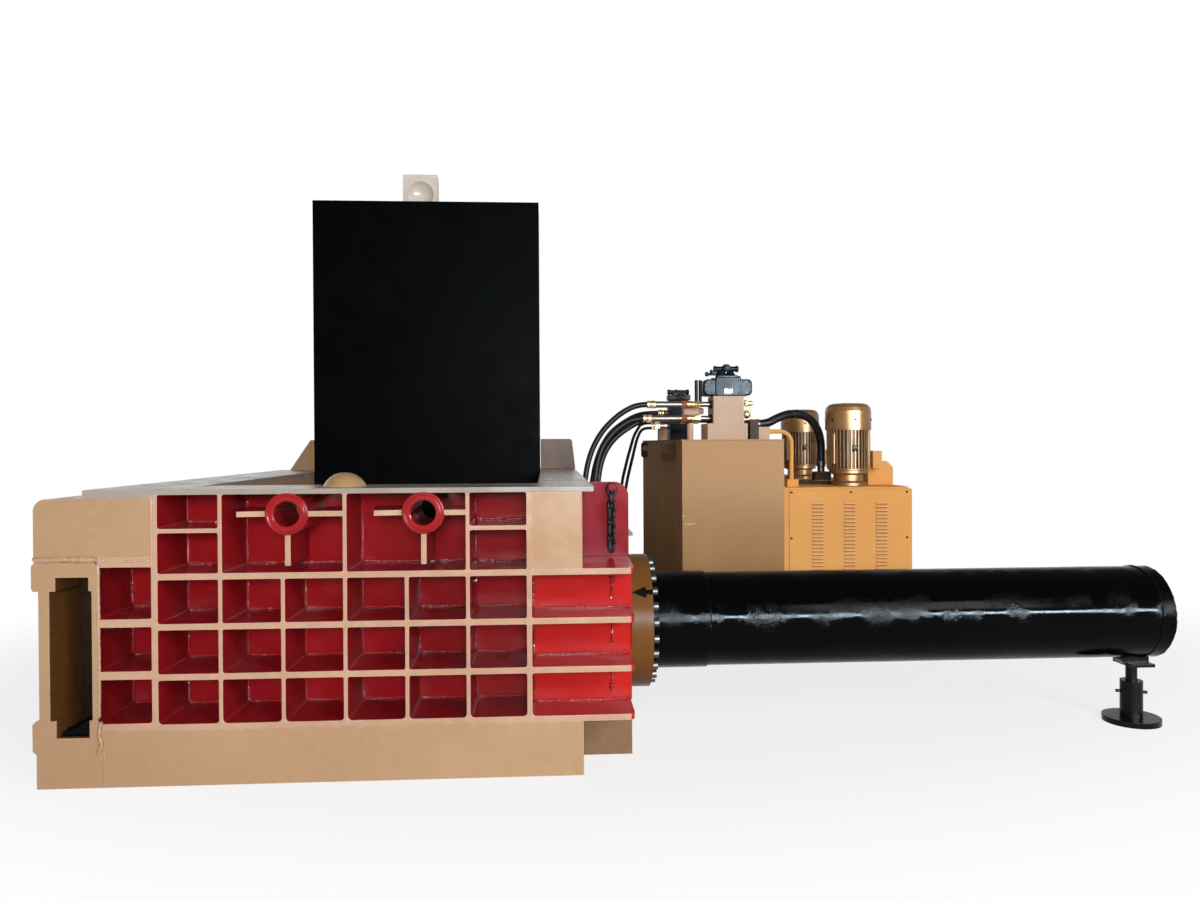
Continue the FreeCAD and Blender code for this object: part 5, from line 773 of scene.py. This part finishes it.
# direction mark on the mounting ring: an arrow laid on its curved face
cylinderAxis = {"y": 475, "z": 495}
arrow = {"tip": 2226, "head": 2284, "tail": 2310, "headHalf": 26, "shaftHalf": 10.5, "angle": 33.5,
         "radius": 281}
station = np.concatenate([np.linspace(arrow["tip"], arrow["head"], 12),
                          np.linspace(arrow["head"], arrow["tail"], 10)])
halfWidth = np.concatenate([np.linspace(0.3, arrow["headHalf"], 12), np.full(10, arrow["shaftHalf"])])
across = np.concatenate([np.linspace(-1, 1, 9), np.linspace(1, -1, 9)])
swing = math.radians(arrow["angle"]) + halfWidth[:, None] * across / arrow["radius"]
reach = arrow["radius"] + np.concatenate([np.full(9, 0.9), np.full(9, -0.6)])
# each point lies on or just under the ring's face, at its station along X and its swing about the axis
arrowPoints = np.stack([np.broadcast_to(station[:, None], swing.shape),
                        cylinderAxis["y"] - reach * np.cos(swing),
                        cylinderAxis["z"] + reach * np.sin(swing)], -1)
ends = np.stack([np.broadcast_to(arrowPoints[k].mean(0), arrowPoints[k].shape) for k in (0, -1)])
arrowPoints = np.concatenate([ends[:1], arrowPoints, ends[1:]])
arrowShape = (spots(arrowPoints.reshape(-1, 3)), gridFaces(len(arrowPoints), 18))
addPiece("ring_arrow", [arrowShape], "gateBlack")

# weld seams round the main cylinder: place, radius, size and seed of each
cylinderSeams = [(4500, 199, 5, 301), (2556.5, 201, 4, 302), (4557, 196, 5, 303)]
angle = np.linspace(0, 2 * np.pi, 90)
seams = []
for x, radius, size, seed in cylinderSeams:
    path = np.column_stack([np.full(90, x), cylinderAxis["y"] - radius * np.cos(angle),
                            cylinderAxis["z"] + radius * np.sin(angle)])
    seams.append(bead(path, size, seed, ripple=0.22))
addPiece("cylinder_seams", seams, "cylinderPaint")
print("marks and seams placed")

# hose fittings at the ports: port's x, y and z, x of the hose's end, and share of the full size;
# the other measures are mm back from the port
unions = {"rows": [(2890, 2050, 1490, 2500, 1.0), (2890, 2050, 1405, 2475, 1.0),
                   (2890, 2120, 1395, 2532, 1.0), (2735, 2850, 1464, 2667, 1.0),
                   (2735, 2850, 1395, 2618, 0.6), (2735, 2850, 1360, 2618, 0.5)],
          "copperNut": 186, "sleeve": 182, "copperCollar": 154, "brassCollar": 126, "brassNut": 104,
          "stub": 72, "flange": 14}
copperCollar = [(0, 0), (0, 21), (8, 22), (26, 22), (30, 20), (30, 0)]
brassCollar = [(0, 0), (0, 17), (8, 20), (16, 20), (20, 16), (24, 16), (24, 0)]
brassParts, copperParts, sleeveParts, flangeParts = [], [], [], []
for number, (port, y, z, hoseEnd, k) in enumerate(unions["rows"]):
    spare = port - hoseEnd
    collar, end = min(52 * k, spare * 0.5), min(56 * k, spare * 0.55)
    ferrule = [(0, 0), (0, 19 * k), (4 * k, 23 * k), (18 * k, 23 * k), (21 * k, 21 * k), (26 * k, 23.5 * k),
               (collar, 23.5 * k), (end, 19 * k), (end, 0)]
    brassParts.append(turned((hoseEnd - 8 * k, y, z), alongX, ferrule))
    if spare > 200:
        sleeveLength = spare - 44 - unions["sleeve"]
        sleeveParts.append(roundBar((hoseEnd + 44, y, z), alongX, sleeveLength, 19.5, 3))
        copperParts.append(hexBar((port - unions["copperNut"], y, z), alongX, 34, 25, number))
        copperParts.append(turned((port - unions["copperCollar"], y, z), alongX, copperCollar))
        brassParts.append(turned((port - unions["brassCollar"], y, z), alongX, brassCollar))
        brassParts.append(hexBar((port - unions["brassNut"], y, z), alongX, 36, 22.5, number * 0.4))
        sleeveParts.append(roundBar((port - unions["stub"], y, z), alongX, 64, 16, 2))
        flangeParts.append(roundBar((port - unions["flange"], y, z), alongX, unions["flange"], 25, 2))
    else:
        nut, sleeve = spare * 0.28, spare * 0.26
        copperParts.append(hexBar((port - spare * 0.52, y, z), alongX, nut, 23 * k, number))
        sleeveParts.append(roundBar((port - sleeve, y, z), alongX, sleeve, 17 * k, 1.5))

# the hoses' feet on the bracket: x, y, height of the hose's end, and share of the full size
hoseFeet = {"bracketTop": 750,
            "rows": [(2112, 2050, 800, 1.0), (2166, 2050, 805, 1.0), (2194, 2118, 806, 1.0),
                     (2140, 2104, 788, 1.0), (2338, 2180, 754, 0.6), (2366, 2192, 752, 0.5)]}
footFerrule = [(0, 0), (0, 20), (3, 21), (18, 21), (22, 18.5), (22, 0)]
bracketTop = hoseFeet["bracketTop"]
for number, (x, y, top, k) in enumerate(hoseFeet["rows"]):
    if k == 1.0:
        copperParts.append(hexBar((x, y, bracketTop), upwards, 18, 21, number))
        sleeveParts.append(roundBar((x, y, bracketTop + 16), upwards, top - bracketTop - 4, 19.5, 2))
        brassParts.append(turned((x, y, top + 10), upwards, footFerrule))
    else:
        brassParts.append(hexBar((x, y, bracketTop), upwards, 14, 22 * k, number))
        sleeveParts.append(roundBar((x, y, bracketTop + 13), upwards, 26, 21 * k, 1.5))
addPiece("brass_ferrules", brassParts, "brass", replacing=["hose_fittings"])
addPiece("copper_unions", copperParts, "copperHex", replacing=["hose_fittings"])
addPiece("hose_sleeves", sleeveParts, "pipeSteel", replacing=["hose_fittings"])
addPiece("port_flanges", flangeParts, "valveBlack", replacing=["hose_fittings"])

# suction line: a clamped stub at the port, and a foot with its valve on the deck
suction = {"port": (3156, 2090, 1370), "foot": (3633, 2260, 1062), "radius": 29}
(portX, portY, portZ), (footX, footY, footZ) = suction["port"], suction["foot"]
suctionParts = [roundBar(suction["port"], alongX, 40, suction["radius"], 3),
                roundBar((portX + 30, portY, portZ + 28), (0, 1, 0), 12, 5, 1, 12),
                roundBar((footX, footY, footZ + 38), upwards, 36, suction["radius"], 3),
                roundBar(suction["foot"], upwards, 44, 23, 2),
                roundBar((footX, footY - 34, footZ + 56), alongX, 12, 5, 1, 12)]
addPiece("suction_clamps", suctionParts, "screwSteel", replacing=["hose_fittings"])
suctionValve = [block((3585, 2228, 1010), (3690, 2300, 1068), 5),
                block((3480, 2228, 987), (3690, 2330, 1014), 3),
                roundBar((3600, 2226, 1040), towardsFront, 10, 14, 2)]
# the valve carries the unit's paint darkened as painted shade
addPiece("suction_valve", suctionValve, "shadedUnitBrown", replacing=["hose_fittings"])

# fittings at the manifold's right face, and the small block behind the hoses
plugProfile = [(0, 0), (0, 24), (6, 26), (18, 26), (30, 17), (36, 8), (36, 0)]
rightFittings = [hexBar((3094, 2050, 1495), alongX, 20, 22, 0.3),
                 roundBar((3112, 2050, 1495), alongX, 30, 15, 3),
                 turned((3094, 2050, 1428), alongX, plugProfile),
                 roundBar((3137, 2050, 1385), upwards, 118, 5.5, 1, 14),
                 hexBar((3137, 2050, 1488), upwards, 16, 10), hexBar((3137, 2050, 1386), upwards, 14, 10)]
addPiece("manifold_fittings", rightFittings, "brass")
sideBlock = [block((2724, 2094, 1424), (2822, 2166, 1480), 4, along=0),
             roundBar((2818, 2130, 1452), alongX, 34, 19, 2)]
addPiece("side_block", sideBlock, "manifoldPaint")
print("fittings placed")

# control valves: castings, spool ends, screws and knobs, in mm
valves = {
    "castings": [((2905, 1996, 1539), (3062, 2164, 1652), 5), ((2925, 2036, 1650), (3052, 2124, 1668), 4),
                 ((2962, 2052, 1690), (3004, 2108, 1730), 5), ((2727, 2815, 1552), (2884, 2905, 1590), 5),
                 ((2760, 2822, 1588), (2850, 2898, 1604), 4),
                 ((2834, 2005, 1541), (3132, 2155, 1641), 8, 26, 1)],
    "domes": [((2955, 2080, 1664), [(0, 0), (0, 34), (10, 33), (26, 24), (34, 22), (34, 0)]),
              ((3012, 2080, 1664), [(0, 0), (0, 32), (12, 30), (24, 21), (30, 20), (30, 0)])],
    # start, length, radius and bevel of each bar along X
    "spools": [((2918, 2080, 1708), 132, 16, 3), ((2908, 2080, 1708), 18, 20, 4),
               ((3042, 2080, 1708), 20, 20, 5), ((2872, 2080, 1676), 56, 8, 1.5),
               ((2856, 2080, 1676), 20, 14, 4), ((2892, 2050, 1690), 36, 7, 1.5),
               ((2880, 2050, 1690), 16, 12, 4), ((2736, 2860, 1610), 140, 15, 3),
               ((2728, 2860, 1610), 22, 19, 5), ((2858, 2860, 1610), 22, 19, 5)],
    "nuts": [(x, y, 1650) for x in (2915, 3052) for y in (2008, 2152)],
    "largeScrews": [(x, 1997, z) for x in (2917, 3050) for z in (1556, 1634)],
    "smallScrews": [(x, 2006, z) for x in (2852, 2886, 3080, 3114) for z in (1560, 1622)],
    "knob": [(0, 0), (0, 17), (6, 22), (10, 20), (14, 22), (18, 20), (22, 22), (28, 17), (32, 8), (32, 0)],
}
valveParts = [block(*facts) for facts in valves["castings"]]
valveParts += [turned(start, upwards, profile) for start, profile in valves["domes"]]
valveParts += [roundBar(start, alongX, *sizes) for start, *sizes in valves["spools"]]
valveParts += [roundBar((2790, 2860, 1600), upwards, 28, 12, 3)]
valveParts += [hexBar(start, upwards, 9, 9) for start in valves["nuts"]]
valveParts += [roundBar(start, towardsFront, 7, 8, 1.5, 16) for start in valves["largeScrews"]]
valveParts += [roundBar(start, towardsFront, 6, 7, 1.5, 16) for start in valves["smallScrews"]]
addPiece("valve_castings", valveParts, "valveBlack", replacing=["control_valves"])
knobs = [turned((2983, 2054, 1712), towardsFront, valves["knob"], 20),
         roundBar((2983, 2080, 1728), upwards, 9, 14, 3)]
addPiece("valve_knobs", knobs, "knobBlue", replacing=["control_valves"])
valvePlate = block((2958, 1992, 1556), (3008, 1998, 1580), 1, along=1)
addPiece("valve_plate", [valvePlate], "bareSteel", replacing=["control_valves"])

# motors: screws, pads, cap, eye and foot ring on each; radii in mm from the motor's upright axis
motors = {"x": 3757, "rows": (2105, 3175), "nuts": 112, "nutCount": 8, "screws": 136, "screwCount": 6,
          "pads": 121, "padTurns": (-152, -28, 60, 120),
          "cap": [(0, 0), (0, 22), (8, 22), (12, 20), (14, 14), (14, 0)],
          "eye": [(0, 0), (0, 16), (9, 15), (12, 11), (12, 0)],
          "footRing": [(0, 90), (0, 122), (3, 125), (9, 125), (12, 122), (12, 90)]}
motorX = motors["x"]


def around(motorY, degrees, radius, height):
    # a place at a turn and radius from a motor's axis
    turn = math.radians(degrees)
    return (motorX + radius * math.cos(turn), motorY + radius * math.sin(turn), height)


motorParts, darkParts = [], []
for y in motors["rows"]:
    for k in range(motors["nutCount"]):
        motorParts.append(hexBar(around(y, 22.5 + 45 * k, motors["nuts"], 1092), upwards, 12, 10))
    for k in range(motors["screwCount"]):
        turn = math.radians(-90 + 60 * k)
        outwards = (math.cos(turn), math.sin(turn), 0)
        darkParts.append(roundBar(around(y, -90 + 60 * k, motors["screws"], 1393), outwards, 7, 7, 1.5, 16))
    for turn in motors["padTurns"]:
        motorParts.append(roundBar(around(y, turn, motors["pads"], 1120), upwards, 190, 13, 4, 20))
    darkParts.append(turned((motorX, y - 118, 1218), towardsFront, motors["cap"], 32))
    motorParts.append(turned((motorX - 22, y, 1486), upwards, motors["eye"], 24))
    motorParts.append(turned((motorX, y, 1082), upwards, motors["footRing"], 48, wrap=True))
motorParts += [roundBar((3944, 2076, z), alongX, 4, 5, 1, 12) for z in (1104, 1190)]
addPiece("motor_fittings", motorParts, "motorPaint")
addPiece("motor_screws", darkParts, "valveBlack")
print("valves and motors dressed")


# tank: lifting lugs, and the rim under the breather
def eyePlate(low, high, eye, radius, corner):
    # a rounded plate with a round eye: rings of 24 points, the outline and the eye at both faces
    turn = np.radians(np.arange(24) * 15 + 7.5)
    signs = np.sign(np.column_stack([np.cos(turn), np.sin(turn)]))
    low, high = np.array(low, float), np.array(high, float)
    half, middle = (high - low)[[0, 2]] / 2, (high + low)[[0, 2]] / 2
    quarter = np.radians((np.arange(24) % 6) * 18 + np.arange(24) // 6 * 90)
    outer = middle + signs * (half - corner) + corner * np.column_stack([np.cos(quarter), np.sin(quarter)])
    inner = np.array(eye) + radius * np.column_stack([np.cos(turn), np.sin(turn)])
    rings = ((outer, low[1]), (outer, high[1]), (inner, high[1]), (inner, low[1]))
    points = np.empty((4, 24, 3))
    for row, (outline, level) in enumerate(rings):
        points[row][:, [0, 2]] = outline
        points[row][:, 1] = level
    return spots(points.reshape(-1, 3)), gridFaces(4, 24, True)


tankLugs = {"rows": ((2594, 2150), (2630, 3700)), "right": 2684, "foot": 1140, "top": 1262, "thick": 14,
            "eyeHeight": 1212, "eyeRadius": 20, "corner": 22}
lugParts = [eyePlate((left, y, tankLugs["foot"]), (tankLugs["right"], y + tankLugs["thick"], tankLugs["top"]),
                     (left + 34, tankLugs["eyeHeight"]), tankLugs["eyeRadius"], tankLugs["corner"])
            for left, y in tankLugs["rows"]]
# the lugs carry the unit's paint darkened as painted shade
addPiece("tank_lugs", lugParts, "shadedUnitBrown")
breatherRim = {"foot": (2750, 3300, 1343),
               "profile": [(0, 0), (0, 34), (3, 37), (16, 37), (20, 33), (20, 0)]}
rimShape = turned(breatherRim["foot"], upwards, breatherRim["profile"], 36)
addPiece("breather_rim", [rimShape], "tankPaint")

# floor, sky and lamps
studio = {"floorWhite": 0.86, "shadow": 0.24, "skyLow": 0.07, "skyHigh": 0.34, "skyBehind": 0.3,
          "overhead": 0.2}
floorMesh = bpy.data.meshes.new("floor")
floorMesh.from_pydata([(-60, -60, 0), (60, -60, 0), (60, 60, 0), (-60, 60, 0)], [], [(0, 1, 2, 3)])
floor = bpy.data.objects.new("floor", floorMesh)
bpy.context.scene.collection.objects.link(floor)
floorMaterial, tree, shader, place = newMaterial("floorWhite")
shader.inputs["Base Color"].default_value = (studio["floorWhite"],) * 3 + (1,)
shader.inputs["Roughness"].default_value = 0.9
shader.inputs["Specular IOR Level"].default_value = 0.0
rays = addNode(tree, "ShaderNodeLightPath").outputs
seen = calc(tree, "MAXIMUM", calc(tree, "MAXIMUM", rays["Is Camera Ray"], rays["Is Glossy Ray"]),
            rays["Is Transmission Ray"])
# near the machine the floor takes its shadow, and further out it goes over into the white background
squeezed = vectorCalc(tree, "MULTIPLY", place, (0.75, 1, 1))
away = vectorCalc(tree, "LENGTH", squeezed, out="Value")
share = band(tree, away, 2.0, 3.6, 1 - studio["shadow"], 1.0)
bright = addNode(tree, "ShaderNodeEmission", {"Color": (1, 1, 1, 1), "Strength": 1.0}).outputs[0]
mixed = addNode(tree, "ShaderNodeMixShader", {0: times(tree, seen, share), 1: shader.outputs[0], 2: bright})
tree.links.new(mixed.outputs[0], tree.nodes["Material Output"].inputs["Surface"])
floorMesh.materials.append(floorMaterial)

world = bpy.data.worlds.new("studio")
world.use_nodes = True
bpy.context.scene.world = world
tree = world.node_tree
rays = addNode(tree, "ShaderNodeLightPath").outputs
seen = calc(tree, "MAXIMUM", rays["Is Camera Ray"], rays["Is Transmission Ray"])
x, y, z = split(tree, addNode(tree, "ShaderNodeTexCoord").outputs["Generated"])
# soft light grows towards the right and behind, and polished faces see a white horizon under a dim ceiling
sideways = calc(tree, "MAXIMUM", band(tree, x, -0.9, 0.7, studio["skyLow"], studio["skyHigh"]),
                band(tree, y, 0.3, 0.8, 0.0, studio["skyBehind"]))
mirrored = band(tree, z, 0.12, 0.6, 1.0, studio["overhead"])
lit = calc(tree, "ADD", times(tree, rays["Is Glossy Ray"], mirrored),
           times(tree, calc(tree, "SUBTRACT", 1.0, rays["Is Glossy Ray"]), sideways))
background = tree.nodes["Background"]
background.inputs["Color"].default_value = (1, 1, 1, 1)
tree.links.new(calc(tree, "MAXIMUM", seen, lit), background.inputs["Strength"])


def softLamp(name, place, aim, size, power, colour=(1, 1, 1), onlyReflected=False):
    # a flat lamp aimed at a point, seen in polished faces alone where onlyReflected is set
    lampData = bpy.data.lights.new(name, "AREA")
    lampData.shape = "RECTANGLE"
    lampData.size, lampData.size_y = size
    lampData.energy = power
    lampData.color = colour
    lamp = bpy.data.objects.new(name, lampData)
    heading = Vector(aim) - Vector(place)
    lamp.matrix_world = Matrix.Translation(place) @ heading.to_track_quat("-Z", "Y").to_matrix().to_4x4()
    lamp.visible_diffuse = not onlyReflected
    bpy.context.scene.collection.objects.link(lamp)


# the long strip draws the highlight along the main cylinder, and the other two light the whole machine
lamps = {
    "longStrip": {"place": (4.9, -9.6, 2.2), "aim": (4.9, -1.8, 0.5), "size": (8.6, 0.15), "power": 4600,
                  "colour": (0.70, 0.87, 1.0), "onlyReflected": True},
    "frontLamp": {"place": (-0.2, -9.2, 2.1), "aim": (-0.4, -1.8, 0.5), "size": (2.0, 1.2), "power": 328},
    "rightLamp": {"place": (3.7, -7.2, 3.8), "aim": (1.6, 0.0, 0.8), "size": (2.4, 2), "power": 200},
}
for lampName, facts in lamps.items():
    softLamp(lampName, **facts)
bpy.context.scene.view_settings.view_transform = "Standard"
print("studio lit")
